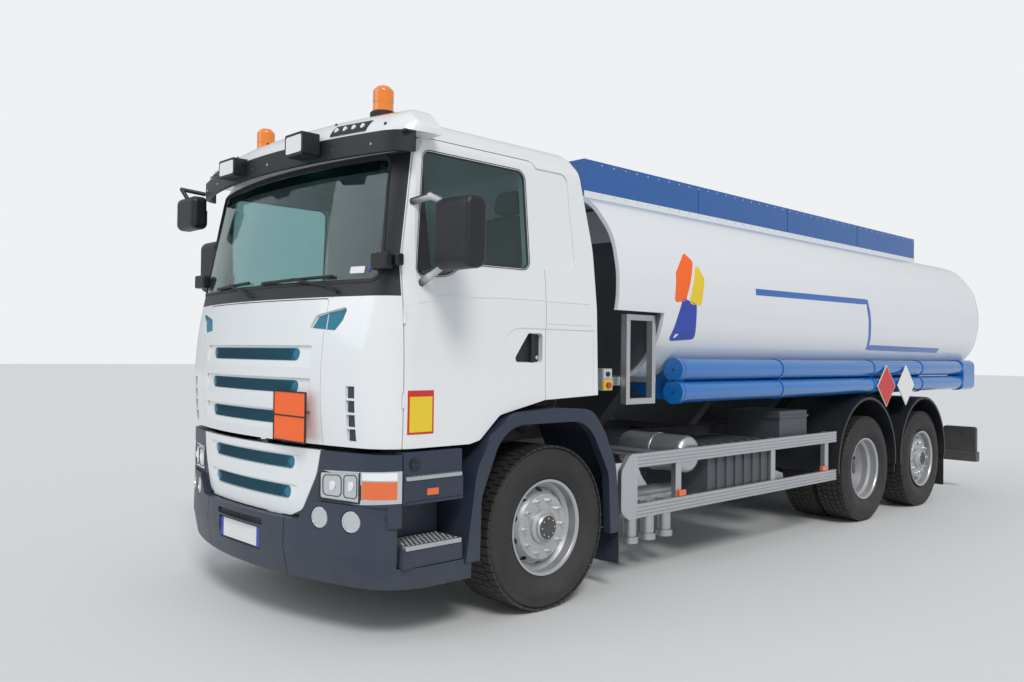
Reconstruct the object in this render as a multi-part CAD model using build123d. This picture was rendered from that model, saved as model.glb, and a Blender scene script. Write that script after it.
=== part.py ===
from build123d import *
from math import degrees
import os

# A three-axle rigid tanker truck with a tilting day cab.
# Millimetres, X forward, Y to the truck's left, Z up.
# The origin is under the middle of the truck, on the ground.

# Whole vehicle
overall_length = 9310
front_overhang = 1460
wheelbase = 4500
bogie_spread = 1355
half_width = 1250
moving_gap = 8
panel_gap = 6

# Wheels and tyres
tyre_radius = 512
rim_radius = 298
rim_wall = 9
single_tyre_width = 385
twin_tyre_width = 312
twin_spacing = 345
front_wheel_y = 1055
tag_wheel_y = 1063
twin_middle_y = 912
hub_radius = 105
spindle_radius = 38
running_clearance = 2
hand_holes = 10
hand_hole_radius = 24

# Front axle and steering
kingpin_y = 885
kingpin_radius = 20
axle_eye_radius = 48
axle_eye_height = 90
knuckle_arm = 36
steer_arm_length = 190
steer_arm_offset = 100
tie_rod_radius = 18
stud_radius = 11

# Ladder frame
frame_half_width = 425
frame_rail_height = 270
frame_top = 970
rail_flange = 75
rail_wall = 9
frame_nose = 1230
frame_tail = 7590
crossmember_radius = 55
tail_plate = 20
coupling_holes_y = 160
coupling_holes_z = 100
coupling_hole_radius = 8.5

# Engine
engine_half_width = 335

# Cab
cab_front = 1418
cab_half_width = 1210
cab_wall = 60
cab_bottom = 1070
cab_rear = 486
cab_roof = 2985
cab_floor_top = 1400
cab_floor_wall = 40
floor_edge_at_door = 1122
cab_plan_radius = 4000
cab_corner_radius = 250
nose_bow_radius = 2340
nose_bow_height = 1400
screen_foot = 1930
screen_head = 2700
screen_head_setback = 207
roof_edge_setback = 400
headliner = 2860
cab_split_height = 1955
side_split_y = 1040
tilt_pivot_x = 1300
tilt_pivot_z = 700
tilt_pin_radius = 16
tilt_arm_y = 432
tunnel_half_width = 440
dash_half_width = 1080
tunnel_top = 1640
glass_wall = 8
glass_depth = 8
field_depth = 9
door_front = 1104
door_rear = 16
door_top = 2800
door_hinge_y = 1201
window_bottom = 2100
flap_half_width = 745
flap_top = 1888
flap_wall = 35
flap_recess = 45
flap_lip_back = 1240
slot_half_width = 550
slot_height = 78
slot_depth = 16
ledge_half_width = 665
ledge_depth = 14
vent_depth = 14
trim_wall = 7

# Roof front
cap_front = 1337
cap_foot = 2800
cap_half_width = 1242
visor_front = 1350
visor_foot = 2685
visor_wall = 26
visor_end = 1070
beacon_x = 930
beacon_y = 720

# Bumper and lower front
bumper_top = 640
bumper_bottom = 310
bumper_half_width = 1240
bumper_plan_radius = 3000
bumper_corner_radius = 350
bumper_crease = 480
bumper_shoulder = 757
bumper_wall = 60
bumper_split = 490
fog_lamp_radius = 58
lower_panel_top = 1040
lower_panel_front = 1400

# Tank
tank_half_width = 1250
tank_bottom = 1360
tank_top = 2780
tank_front = 1180
tank_end_radius = 395
shroud_front = 650
shroud_edge_height = 1900
shroud_wall = 30
bulkhead_wall = 30
catwalk_half_width = 750
catwalk_board_top = 3035
catwalk_board_wall = 30
catwalk_front = 840
catwalk_rear = 6825
manhole_radius = 250
manhole_count = 3
cover_hinge_back = 282
cover_hinge_z = 2890
cover_pin_radius = 8

# Things hung on the frame
tube_radius = 82
tube_y = 1140
tube_upper_z = 1490
tube_lower_z = 1322
outlet_radius = 50
guard_y = 1240
guard_rail_height = 100
guard_rail_wall = 28

x_front = overall_length / 2
x_rear = -overall_length / 2
x_steer = x_front - front_overhang
x_drive = x_steer - wheelbase
x_tag = x_drive - bogie_spread
axle_z = tyre_radius


def station(distance):
    """X of a point given as millimetres ahead of the front axle."""
    return x_steer + distance


def outline(points):
    """Closed flat outline. A point with a third value gets that corner radius."""
    sketch = Polygon(*[p[:2] for p in points], align=None)
    for point in points:
        if len(point) == 3:
            corner = sketch.vertices().sort_by_distance(Vector(point[0], point[1], 0))[0]
            sketch = fillet(corner, point[2])
    return sketch


def grown(points, amount):
    """Outline moved outwards by an amount, or inwards if it is negative."""
    sketch = outline(points)
    if amount == 0:
        return sketch
    return offset(sketch, amount=amount, kind=Kind.INTERSECTION)


def prism_x(points, x0, x1, amount=0):
    """Outline in Y and Z, carried along X."""
    return extrude(Plane.YZ.offset(x0) * grown(points, amount), amount=x1 - x0)


def prism_y(points, y0, y1, amount=0):
    """Outline in X and Z, carried along Y."""
    return extrude(Plane.XZ.offset(-y1) * grown(points, amount), amount=y1 - y0)


def prism_z(points, z0, z1, amount=0):
    """Outline in X and Y, carried along Z."""
    return extrude(Plane.XY.offset(z0) * grown(points, amount), amount=z1 - z0)


def block(x0, x1, y0, y1, z0, z1):
    """Box between two opposite corners."""
    size = (abs(x1 - x0), abs(y1 - y0), abs(z1 - z0))
    return Pos((x0 + x1) / 2, (y0 + y1) / 2, (z0 + z1) / 2) * Box(*size)


def rod_x(x0, x1, y, z, radius):
    return Pos((x0 + x1) / 2, y, z) * Rot(0, 90, 0) * Cylinder(radius, abs(x1 - x0))


def rod_y(y0, y1, x, z, radius):
    return Pos(x, (y0 + y1) / 2, z) * Rot(90, 0, 0) * Cylinder(radius, abs(y1 - y0))


def rod_z(z0, z1, x, y, radius):
    return Pos(x, y, (z0 + z1) / 2) * Cylinder(radius, abs(z1 - z0))


def other_side(shape):
    return mirror(shape, about=Plane.XZ)


def both_sides(shape):
    return [shape, other_side(shape)]


def spun(points):
    """Profile of radius and Y, turned about the Y axis."""
    return revolve(outline(points), axis=Axis.Y)


# Wheels: every profile is drawn for the left side, with its outer face towards +Y

def tyre_ring(width, y):
    """Tyre as one closed ring, seated on the rim."""
    w = width / 2
    bead = w - 42
    profile = [
        (rim_radius - 12, y - bead), (rim_radius + 30, y - w + 14), (rim_radius + 95, y - w),
        (tyre_radius - 40, y - w + 8), (tyre_radius - 8, y - w + 30), (tyre_radius, y - w + 60),
        (tyre_radius, y + w - 60), (tyre_radius - 8, y + w - 30), (tyre_radius - 40, y + w - 8),
        (rim_radius + 95, y + w), (rim_radius + 30, y + w - 14), (rim_radius - 12, y + bead),
    ]
    return spun(profile)


def rim_barrel(width, y):
    """Rim barrel with its two flanges and a drop centre."""
    bead = width / 2 - 42
    seat = rim_radius - 12
    low = rim_radius - 36
    half = [
        (low, bead - 80), (seat, bead - 60), (seat, bead), (rim_radius, bead + 9),
        (rim_radius, bead + 15), (seat - 3, bead + 12), (seat - rim_wall, bead + 3),
        (seat - rim_wall, bead - 55), (low - rim_wall, bead - 75),
    ]
    far = [(r, -v) for r, v in reversed(half)]
    return spun([(r, y + v) for r, v in half + far])


def wheel_disc(face_y, barrel_y):
    """Dished disc from the bolting face to the rim barrel, with its hand holes."""
    low = rim_radius - 36
    flat = hub_radius + 95
    profile = [
        (hub_radius - 5, face_y - 13), (flat, face_y - 13), (low - rim_wall, barrel_y - 7),
        (low - 2, barrel_y - 7), (low - 2, barrel_y + 7), (low - rim_wall - 6, barrel_y + 7),
        (flat + 3, face_y), (hub_radius - 5, face_y),
    ]
    disc = spun(profile)
    middle = ((flat + low - rim_wall) / 2, (face_y + barrel_y) / 2 - 6, 0)
    through_wall = (face_y - barrel_y, low - rim_wall - flat, 0)
    hole = Plane(origin=middle, z_dir=through_wall) * Cylinder(hand_hole_radius, 36)
    for k in range(hand_holes):
        disc -= Rot(0, (k + 0.5) * 360 / hand_holes, 0) * hole
    return disc


def hub(inner_y, outer_y, cap_y):
    """Hub drum with a bore for the spindle and a stepped cap."""
    body = spun([
        (0, inner_y), (hub_radius + 45, inner_y), (hub_radius + 45, inner_y + 30),
        (hub_radius, inner_y + 45), (hub_radius, outer_y), (hub_radius - 18, outer_y + 12),
        (hub_radius - 22, cap_y - 10), (hub_radius - 32, cap_y), (0, cap_y),
    ])
    bore = rod_y(inner_y - 1, outer_y - 40, 0, 0, spindle_radius + running_clearance)
    return body - bore


def single_wheel(y):
    """Single wheel whose disc stands near the outer face."""
    face = y + 128
    wheel = rim_barrel(single_tyre_width, y) + wheel_disc(face, y + 60)
    return wheel + hub(y - 55, face + 14, face + 48)


def twin_wheel(middle):
    """Two wheels bolted back to back on one hub."""
    outer = middle + twin_spacing / 2
    inner = middle - twin_spacing / 2
    wheel = rim_barrel(twin_tyre_width, outer) + wheel_disc(middle + 13, outer - 25)
    wheel += rim_barrel(twin_tyre_width, inner) + wheel_disc(middle, inner + 25)
    return wheel + hub(middle - 130, middle + 60, middle + 165)


def wheel_nodes():
    """Wheels and tyres on the three axles, left side and right side."""
    made = {}
    axles = (("front", x_steer), ("drive", x_drive), ("tag", x_tag))
    for axle, x in axles:
        if axle == "drive":
            rims = twin_wheel(twin_middle_y)
            tyres = [tyre_ring(twin_tyre_width, twin_middle_y + s * twin_spacing / 2) for s in (-1, 1)]
        else:
            y = front_wheel_y if axle == "front" else tag_wheel_y
            rims = single_wheel(y)
            tyres = [tyre_ring(single_tyre_width if axle == "front" else single_tyre_width - 40, y)]
        place = Pos(x, 0, axle_z)
        made[f"wheel_{axle}_left"] = [place * rims]
        made[f"wheel_{axle}_right"] = [other_side(place * rims)]
        made[f"tyre_{axle}_left"] = [place * t for t in tyres]
        made[f"tyre_{axle}_right"] = [other_side(place * t) for t in tyres]
    return made


# Front axle, knuckles and tie rod

def front_axle():
    """Forged drop beam with an eye at each end and a spring pad on each side."""
    drop = axle_z - 95
    shoulder = frame_half_width + 110
    half = [
        (0, drop - 50), (shoulder - 60, drop - 50, 60), (kingpin_y - 190, axle_z - 40, 40),
        (kingpin_y, axle_z - 40), (kingpin_y, axle_z + 40), (kingpin_y - 100, axle_z + 40, 40),
        (shoulder - 90, drop + 50, 60), (0, drop + 50),
    ]
    beam = prism_x(half, x_steer - 45, x_steer + 45)
    beam -= rod_z(0, 2 * axle_z, x_steer, kingpin_y, axle_eye_radius + 6)
    eye = rod_z(axle_z - axle_eye_height / 2, axle_z + axle_eye_height / 2, x_steer, kingpin_y,
                axle_eye_radius)
    neck = block(x_steer - 35, x_steer + 35, kingpin_y - 90, kingpin_y, axle_z - 38, axle_z + 38)
    beam = beam + neck + eye
    beam -= rod_z(0, 2 * axle_z, x_steer, kingpin_y, kingpin_radius + running_clearance)
    return [beam + other_side(beam)]


def knuckle():
    """Fork around the axle eye, with kingpin, spindle and steering arm."""
    low = axle_z - axle_eye_height / 2 - moving_gap
    high = axle_z + axle_eye_height / 2 + moving_gap
    back = kingpin_y + axle_eye_radius + moving_gap
    cheeks = Part()
    for z0, z1 in ((low - knuckle_arm, low), (high, high + knuckle_arm)):
        cheek = rod_z(z0, z1, x_steer, kingpin_y, axle_eye_radius)
        cheek += block(x_steer - 45, x_steer + 45, kingpin_y, back + 10, z0, z1)
        cheeks += cheek
    body = cheeks + block(x_steer - 45, x_steer + 45, back, back + 22, low - knuckle_arm,
                          high + knuckle_arm)
    body += rod_z(low - 1, high + 1, x_steer, kingpin_y, kingpin_radius)
    body += rod_y(back + 20, front_wheel_y + 90, x_steer, axle_z, spindle_radius)
    arm_z = low - knuckle_arm / 2
    eye_x, eye_y = x_steer - steer_arm_length, kingpin_y - steer_arm_offset
    arm = prism_z([
        (x_steer + 10, kingpin_y - 20), (x_steer - 30, kingpin_y + 30),
        (eye_x, eye_y + 30), (eye_x, eye_y - 30),
    ], arm_z - 14, arm_z + 14)
    arm += rod_z(arm_z - 14, arm_z + 14, eye_x, eye_y, 30)
    arm -= rod_z(0, 1000, eye_x, eye_y, stud_radius + running_clearance)
    return body + arm


def tie_rod():
    """Rod under the two steering arms. Its stud stands in the left arm, and the right end is open."""
    low = axle_z - axle_eye_height / 2 - moving_gap
    arm_bottom = low - knuckle_arm / 2 - 14
    x = x_steer - steer_arm_length
    y = kingpin_y - steer_arm_offset
    z = arm_bottom - moving_gap - 26
    rod = rod_y(-y, y, x, z, tie_rod_radius)
    for side in (-1, 1):
        rod += rod_z(z - 26, z + 26, x, side * y, 27)
    rod += rod_z(z, arm_bottom + 34, x, y, stud_radius)
    return [rod]


def rear_axles():
    """Drive axle with its differential, and the tag axle."""
    inner_end = twin_middle_y - 130 - moving_gap
    drive = rod_y(-inner_end, inner_end, x_drive, axle_z, 62)
    drive += Pos(x_drive, 0, axle_z) * scale(Sphere(210), by=(1, 0.72, 1))
    drive += rod_x(x_drive, x_drive + 330, 0, axle_z, 75)
    for side in (-1, 1):
        drive += rod_y(side * (inner_end - 5), side * (twin_middle_y + 10), x_drive, axle_z,
                       spindle_radius)
    inner_end = tag_wheel_y - 55 - moving_gap
    tag = rod_y(-inner_end, inner_end, x_tag, axle_z, 58)
    for side in (-1, 1):
        tag += rod_y(side * (inner_end - 5), side * (tag_wheel_y + 90), x_tag, axle_z, spindle_radius)
    return [drive, tag]


def suspension():
    """Leaf springs at the front, trailing beams and air bellows at the rear."""
    spring_z = axle_z - 95 + 50
    frame_bottom = frame_top - frame_rail_height
    y = frame_half_width - 45
    front = prism_y([
        (station(760), frame_bottom - 20), (station(60), spring_z + 46), (station(-60), spring_z + 46),
        (station(-760), frame_bottom - 20), (station(-760), frame_bottom - 60),
        (station(-90), spring_z), (station(90), spring_z), (station(760), frame_bottom - 60),
    ], y - 35, y + 35)
    for end in (station(760), station(-760)):
        front += block(end - 40, end + 40, y - 35, y + 35, frame_bottom - 60, frame_bottom)
    springs = both_sides(front)
    rear = []
    for x in (x_drive, x_tag):
        beam_top = axle_z - 62
        tube = 62 if x == x_drive else 58
        arm = prism_y([
            (x + 620, frame_bottom - 90), (x + 60, axle_z - tube), (x - 60, axle_z - tube),
            (x - 380, beam_top - 20), (x - 380, beam_top - 75), (x + 40, axle_z - tube - 70),
            (x + 620, frame_bottom - 160),
        ], y - 40, y + 40)
        arm += block(x + 560, x + 650, y - 42, y + 42, frame_bottom - 170, frame_bottom)
        arm += rod_z(beam_top - 22, frame_bottom, x - 290, y, 85)
        rear += both_sides(arm)
    return springs + rear


def chassis_frame():
    """Two channel rails tied by round cross-members and a closed rear member."""
    nose, tail = station(frame_nose), station(-frame_tail)
    z0, z1 = frame_top - frame_rail_height, frame_top
    y1 = frame_half_width
    y0 = y1 - rail_flange
    channel = [
        (y0, z0), (y1, z0, 12), (y1, z1, 12), (y0, z1), (y0, z1 - rail_wall),
        (y1 - rail_wall, z1 - rail_wall), (y1 - rail_wall, z0 + rail_wall), (y0, z0 + rail_wall),
    ]
    rail = prism_x(channel, tail, nose)
    frame = rail + other_side(rail)
    middle_z = (z0 + z1) / 2
    for x in (-900, -1900, -2900, -3700, -5180, -6450):
        frame += rod_y(-y1 + 4, y1 - 4, station(x), middle_z, crossmember_radius)
    frame += block(nose - 70, nose - 10, -y1 + 4, y1 - 4, z0 + 30, z1 - 30)
    frame += block(tail, tail + tail_plate, -y1, y1, z0, z1)
    for y in (-coupling_holes_y / 2, coupling_holes_y / 2):
        for z in (middle_z - coupling_holes_z / 2, middle_z + coupling_holes_z / 2):
            frame -= rod_x(tail - 5, tail + tail_plate + 5, y, z, coupling_hole_radius)
    pivot_x = station(tilt_pivot_x)
    bracket = prism_y([
        (nose - 90, z0 + 5), (nose - 90, z0 - 30, 20), (pivot_x, tilt_pivot_z - 28, 20),
        (pivot_x + 28, tilt_pivot_z, 20), (pivot_x, tilt_pivot_z + 60, 20), (nose - 20, z0 + 90),
        (nose - 90, z0 + 90),
    ], y1 - 26, y1 - 4)
    bracket += rod_y(y1 - 15, tilt_arm_y + 48, pivot_x, tilt_pivot_z, tilt_pin_radius)
    return [frame + bracket + other_side(bracket)] + tank_saddles()


# Cab

def cab_side_points():
    """Roof, rear wall and underside, seen from the side."""
    x = station
    return [
        (x(cab_front + 300), cab_bottom), (x(cab_front + 300), cab_roof - 45), (x(500), cab_roof - 8, 2000),
        (x(-cab_rear + 226), cab_roof, 90), (x(-cab_rear + 156), 2870, 60),
        (x(-cab_rear + 36), 2290, 900), (x(-cab_rear), cab_bottom + 256), (x(19), cab_bottom + 237),
        (x(402), cab_bottom + 158, 90), (x(559), cab_bottom + 18, 60), (x(640), cab_bottom),
    ]


def cab_end_points():
    """Cab seen from the front: straight sides that lean in above the belt line."""
    w = cab_half_width
    right = [(w, 900), (w, 1900, 900), (w - 68, 2790, 120), (w - 190, cab_roof - 50, 200),
             (w - 700, cab_roof, 900)]
    left = [(-p[0],) + tuple(p[1:]) for p in reversed(right)]
    return right + left


def nose_plan(front, half_width_here, back, inset, radius, corner):
    """Plan of a nose: a long front arc, round corners and straight sides."""
    arc = Pos(front - radius, 0) * Circle(radius - inset)
    sides = Pos((back + front) / 2, 0) * Rectangle(front - back, 2 * (half_width_here - inset))
    plan = arc & sides
    corners = plan.vertices().sort_by(Axis.X)[-2:]
    return fillet(corners, corner - inset)


def nose_stack(levels, half_width_here, back, inset=0, ruled=False,
               radius=cab_plan_radius, corner=cab_corner_radius):
    """Solid through nose plans, each given as a height and its front."""
    plans = [Pos(0, 0, z) * nose_plan(front, half_width_here, back, inset, radius, corner)
             for z, front in levels]
    return loft(plans, ruled=ruled)


def nose_volume(front, half_width_here, back, z0, z1, inset=0,
                radius=cab_plan_radius, corner=cab_corner_radius):
    """Upright nose of one plan."""
    plan = nose_plan(front, half_width_here, back, inset, radius, corner)
    return extrude(Pos(0, 0, z0) * plan, amount=z1 - z0)


def nose_setback(z):
    """How far the bowed nose stands behind its foremost point at a height."""
    return (z - nose_bow_height) ** 2 / (2 * nose_bow_radius)


def cab_front_form(inset=0):
    """Bowed nose under the windscreen, and the straight slope above it."""
    front, back = station(cab_front), station(-900)
    foot = cab_bottom - 60
    steps = 5
    heights = [foot + k * (screen_foot - foot) / steps for k in range(steps + 1)]
    bow = nose_stack([(z, front - nose_setback(z)) for z in heights], cab_half_width, back, inset)
    slope = nose_stack([
        (screen_foot, front - nose_setback(screen_foot)), (screen_head, front - screen_head_setback),
        (cab_roof + 5, front - roof_edge_setback),
    ], cab_half_width, back, inset, ruled=True)
    return bow + slope


def cab_volume(inset):
    """Solid cab form, or the same form drawn in by an inset."""
    side = prism_y(cab_side_points(), -1400, 1400, -inset)
    ends = prism_x(cab_end_points(), station(-900), station(1600), -inset)
    return side & ends & cab_front_form(inset)


def door_points():
    """Door seen from the side. Its foot follows the cab's underside."""
    x = station
    return [
        (x(door_front), 950), (x(door_front), 2080, 250), (x(door_front - 105), door_top, 60),
        (x(door_rear + 50), door_top, 60), (x(door_rear + 4), 2080, 400), (x(door_rear), 950),
    ]


def window_points():
    """Side window: its lower edge drops towards the front."""
    x = station
    return [
        (x(door_front - 72), window_bottom - 85, 40), (x(door_front - 150), door_top - 75, 50),
        (x(door_rear + 150), door_top - 75, 60), (x(door_rear + 140), window_bottom + 15, 50),
        (x(door_front - 420), window_bottom + 10, 200), (x(door_front - 300), window_bottom - 70, 200),
    ]


def handle_panel_points():
    """Shallow pressed field around the door handle, carried on behind the door."""
    x = station
    return [(x(-cab_rear + 46), 1372), (x(500), 1372, 60), (x(335), 1752, 150), (x(-cab_rear + 46), 1752)]


def handle_pocket_points():
    x = station
    return [(x(door_rear + 26), 1540, 25), (x(door_rear + 284), 1540, 25), (x(door_rear + 150), 1722, 25),
            (x(door_rear + 26), 1722, 25)]


def rear_field_points():
    """Shallow field on the cab side behind the door, above the belt line."""
    x = station
    return [(x(-270), 2125, 90), (x(120), 2125), (x(120), 2765), (x(-225), 2765, 60)]


def windscreen_points():
    return [(-1085, 1985, 60), (1085, 1985, 60), (1012, 2690, 60), (-1012, 2690, 60)]


def flap_points():
    w = flap_half_width
    return [(-w, cab_bottom - 100), (w, cab_bottom - 100), (w, flap_top, 25), (-w, flap_top, 25)]


def slot_points(z, half):
    """Long slot with round ends, in the middle of the nose."""
    h = slot_height / 2
    r = h - 4
    return [(-half, z - h, r), (half, z - h, r), (half, z + h, r), (-half, z + h, r)]


def leaf_points():
    """Pointed side vent that runs off the flap onto the nose."""
    return [(622, 1722, 6), (827, 1705, 20), (880, 1765, 60), (908, 1845, 20), (668, 1800, 50)]


def cab_front_at(z):
    """X of the nose's middle line at a height below the windscreen."""
    return station(cab_front) - nose_setback(z)


def skin_cut(top, low, top_depth, low_depth, half, front_at=cab_front_at):
    """Ring sector that takes the nose's skin away down to a depth at its top and at its foot."""
    centre = station(cab_front) - cab_plan_radius
    profile = outline([
        (front_at(top) + 30, top), (front_at(top) - top_depth, top), (front_at(low) - low_depth, low),
        (front_at(low) + 30, low),
    ])
    half_angle = degrees(half / cab_plan_radius)
    axis = Axis((centre, 0, 0), (0, 0, 1))
    ring = revolve(Plane.XZ * profile, axis=axis, revolution_arc=2 * half_angle)
    return Pos(centre, 0, 0) * Rot(0, 0, -half_angle) * Pos(-centre, 0, 0) * ring


def slot_cut(z, half, front, depth):
    """Slot cut into an upright stretch of nose, down to a curved floor."""
    h = slot_height / 2
    floor = nose_volume(front - depth, cab_half_width, station(600), z - h - 1, z + h + 1)
    return prism_x(slot_points(z, half), station(1100), station(cab_front) + 60) - floor


flap_slots = (1204, 1389, 1575)
panel_slots = ((776, 480), (950, 510))


def shell_and_openings():
    """Cab form, its hollow and the hollow under the floor."""
    outer = cab_volume(0)
    head = block(station(-900), station(1600), -1400, 1400, 900, headliner)
    hollow = cab_volume(cab_wall) & head
    under = cab_front_form(cab_wall) & block(station(-cab_rear + cab_wall + 2), station(1600), -1400, 1400,
                                             900, cab_floor_top + 80)
    return outer, hollow, under


def hinge_barrels(side, radius, extra):
    """Two door hinge barrels on the front seam."""
    made = Part()
    for z in (1330, 1790):
        made += rod_z(z - 40 - extra, z + 40 + extra, station(door_front + 3), side * door_hinge_y, radius)
    return made


def cab_nodes():
    made = {}
    outer, hollow, under = shell_and_openings()
    front_face = station(cab_front) + 60
    reach = cab_half_width + 60
    walls = outer - hollow - under
    shell = walls

    # Left and right door, window and their openings in the shell
    handle_panel = prism_y(handle_panel_points(), cab_half_width - 5, reach)
    pocket = prism_y(handle_pocket_points(), cab_half_width - 36, reach)
    glass_skin = cab_volume(glass_depth) - cab_volume(glass_depth + glass_wall)
    field = prism_y(rear_field_points(), -1400, 1400) - cab_volume(field_depth)
    for side, name in ((1, "left"), (-1, "right")):
        y0, y1 = sorted((side * (cab_half_width - cab_wall - 90), side * reach))
        opening = prism_y(door_points(), y0, y1, panel_gap)
        window = prism_y(window_points(), y0, y1)
        door = (walls & prism_y(door_points(), y0, y1)) - window
        door -= handle_panel if side > 0 else other_side(handle_panel)
        door -= pocket if side > 0 else other_side(pocket)
        door += rod_z(1530, 1730, station(door_rear + 110), side * (cab_half_width - 16), 11)
        door += hinge_barrels(side, 8, 0)
        glass = glass_skin & window
        shell -= opening
        shell -= handle_panel if side > 0 else other_side(handle_panel)
        shell -= hinge_barrels(side, 10, 3)
        made[f"door_{name}"] = [door]
        made[f"door_glass_{name}"] = [glass]
    shell -= field
    shell -= block(station(-cab_rear - 50), station(0), -tunnel_half_width, tunnel_half_width, 1000,
                   tunnel_top - 30)

    # Windscreen
    screen = prism_x(windscreen_points(), station(900), front_face)
    shell -= screen
    pane = glass_skin & screen
    made["windscreen"] = [pane]

    # Front flap with its ledges and slots, and the recess behind it
    flap_box = prism_x(flap_points(), station(flap_lip_back), front_face)
    recess = prism_x(flap_points(), station(flap_lip_back) - panel_gap, front_face, panel_gap)
    recess -= cab_front_form(flap_recess)
    flap = (outer - cab_front_form(flap_wall)) & flap_box
    for z in flap_slots:
        top, low = z + slot_height / 2 + 12, z - slot_height / 2 - 62
        flap -= skin_cut(top, low, ledge_depth, -4, ledge_half_width)
        flap -= slot_cut(z, slot_half_width, cab_front_at(z), slot_depth)
    leaf = prism_x(leaf_points(), station(1100), front_face)
    vents = skin_cut(1860, 1690, vent_depth, vent_depth, 1000) & (leaf + other_side(leaf))
    flap -= vents
    shell -= vents
    for k in range(4):
        z = 1137 + k * 78
        cell = block(station(1100), front_face, 940, 1002, z - 35, z + 35)
        cell -= nose_volume(cab_front_at(z), cab_half_width, station(600), z - 40, z + 40, vent_depth)
        shell -= cell
        shell -= other_side(cell)
    shell -= recess
    made["grille_flap"] = [flap]
    cover = screen_trim(outer)
    shell -= cover
    made["screen_trim"] = [cover]

    # The shell's panels
    x0, x1, split = station(-900), front_face, station(990)
    above = block(x0, x1, -1400, 1400, headliner, 3200)
    cap = roof_cap() - outer
    made["cab_roof"] = [(outer & above) + cap]
    nose = shell & block(split, x1, -1400, 1400, 900, cab_split_height)
    frame = shell & block(split, x1, -1400, 1400, cab_split_height, headliner)
    made["cab_nose"] = [nose, frame]
    made["cab_walls"] = [
        shell & block(x0, split, side_split_y, 1400, 900, headliner),
        shell & block(x0, split, -1400, -side_split_y, 900, headliner),
        shell & block(x0, split, -side_split_y, side_split_y, 900, headliner),
    ]
    made["cab_floor"] = cab_floor(shell)
    made["roof_lamps"] = roof_lamps(cap + outer)
    made["beacons"] = beacons(cap + outer)
    made["dashboard"] = dashboard(hollow)
    made["sun_visor"] = sun_visor(outer)
    made["mirror_left"] = mirror_arm(outer)
    made["mirror_right"] = [other_side(part) for part in made["mirror_left"]]
    return made


def cab_floor(shell):
    """Floor on both sides of the engine tunnel, and the arms to the tilt pivot."""
    x0, x1 = station(-cab_rear + cab_wall + 2), station(cab_front) + 60
    w = tunnel_half_width + 30
    slab = block(x0, x1, -1400, 1400, cab_floor_top - cab_floor_wall, cab_floor_top)
    slab = cab_front_form(cab_wall) & slab
    slab -= shell
    for side in (-1, 1):
        y0, y1 = sorted((side * floor_edge_at_door, side * 1400))
        slab -= block(station(door_rear - 12), station(door_front + 16), y0, y1, 1300, 1500)
    tunnel_x1 = station(960)
    tunnel = block(x0, tunnel_x1, -w, w, cab_floor_top - cab_floor_wall, tunnel_top)
    slab -= block(x0 - 20, tunnel_x1, -w, w, 1000, 2000)
    tunnel -= block(x0 - 20, tunnel_x1 - 30, -w + 30, w - 30, 1000, tunnel_top - 30)
    tunnel -= shell
    pivot = (station(tilt_pivot_x), tilt_pivot_z)
    bend = (pivot[0] - 330, pivot[1] + 190)
    arm = prism_y([
        (pivot[0] + 12, pivot[1] - 26), (pivot[0] + 12, pivot[1] + 26), (bend[0] + 40, bend[1] + 30, 30),
        (bend[0] + 40, cab_floor_top - cab_floor_wall), (bend[0] - 40, cab_floor_top - cab_floor_wall),
        (bend[0] - 40, bend[1] - 30, 60),
    ], tilt_arm_y, tilt_arm_y + 40)
    arm += rod_y(tilt_arm_y, tilt_arm_y + 40, pivot[0], pivot[1], 30)
    arm -= rod_y(0, 600, pivot[0], pivot[1], tilt_pin_radius + running_clearance)
    return [slab, tunnel] + both_sides(arm)


def roof_cap():
    """Raised front of the roof, above the visor."""
    x = station
    levels = [(cap_foot, x(cap_front)), (cap_foot + 70, x(cap_front - 42)),
              (cap_foot + 135, x(cap_front - 137)),
              (cab_roof - 4, x(cap_front - 350))]
    cap = nose_stack(levels, cap_half_width, x(600), corner=200)
    right = [(cap_half_width, cap_foot - 20), (cap_half_width, cap_foot + 40, 60), (1130, 2950, 110),
             (700, cab_roof + 8, 600)]
    left = [(-p[0],) + tuple(p[1:]) for p in reversed(right)]
    return cap & prism_x(right + left, x(900), x(1500))


def sun_visor(outer):
    """Curved visor under the roof's front edge."""
    visor = nose_volume(station(visor_front), cap_half_width, station(800), visor_foot, cap_foot, corner=200)
    visor -= nose_volume(station(visor_front), cap_half_width, station(700), 2600, 2900, visor_wall,
                         corner=200)
    visor &= block(station(visor_end), station(1500), -1400, 1400, 2600, 2900)
    for side in (-1, 1):
        y0, y1 = sorted((side * 1120, side * 1225))
        visor += block(station(visor_end), station(visor_end + 70), y0, y1, cap_foot - 14, cap_foot)
    return [visor - outer]


def roof_lamps(roof):
    """Work lamps on the visor and narrow lamp strips in the roof's front."""
    x = station
    visor = nose_volume(x(visor_front), cap_half_width, x(700), 2600, cap_foot, corner=200)
    made = []
    for y0, y1, z0, z1 in ((-415, -200, 2705, 2820), (440, 640, 2710, 2840)):
        lamp = fillet(block(x(1310), x(1420), y0, y1, z0, z1).edges().filter_by(Axis.X), 14)
        made.append(lamp - visor - roof)
    strip = roof_cap()
    strip = Pos(8, 0, 0) * strip - roof
    for side in (-1, 1):
        y0, y1 = sorted((side * 690, side * 960))
        made.append(strip & block(x(1000), x(1500), y0, y1, 2820, 2886))
    return made


def screen_trim(outer):
    """Dark covers let into the windscreen pillars, and the strip under the windscreen."""
    x0, x1 = station(990), station(1500)
    skin = outer - cab_volume(trim_wall)
    cover = skin & block(x0, x1, -cab_half_width, cab_half_width, flap_top + 12, visor_foot + 30)
    cover -= prism_y(door_points(), -1400, 1400, panel_gap + 4)
    return cover - prism_x(windscreen_points(), station(900), x1)


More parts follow.
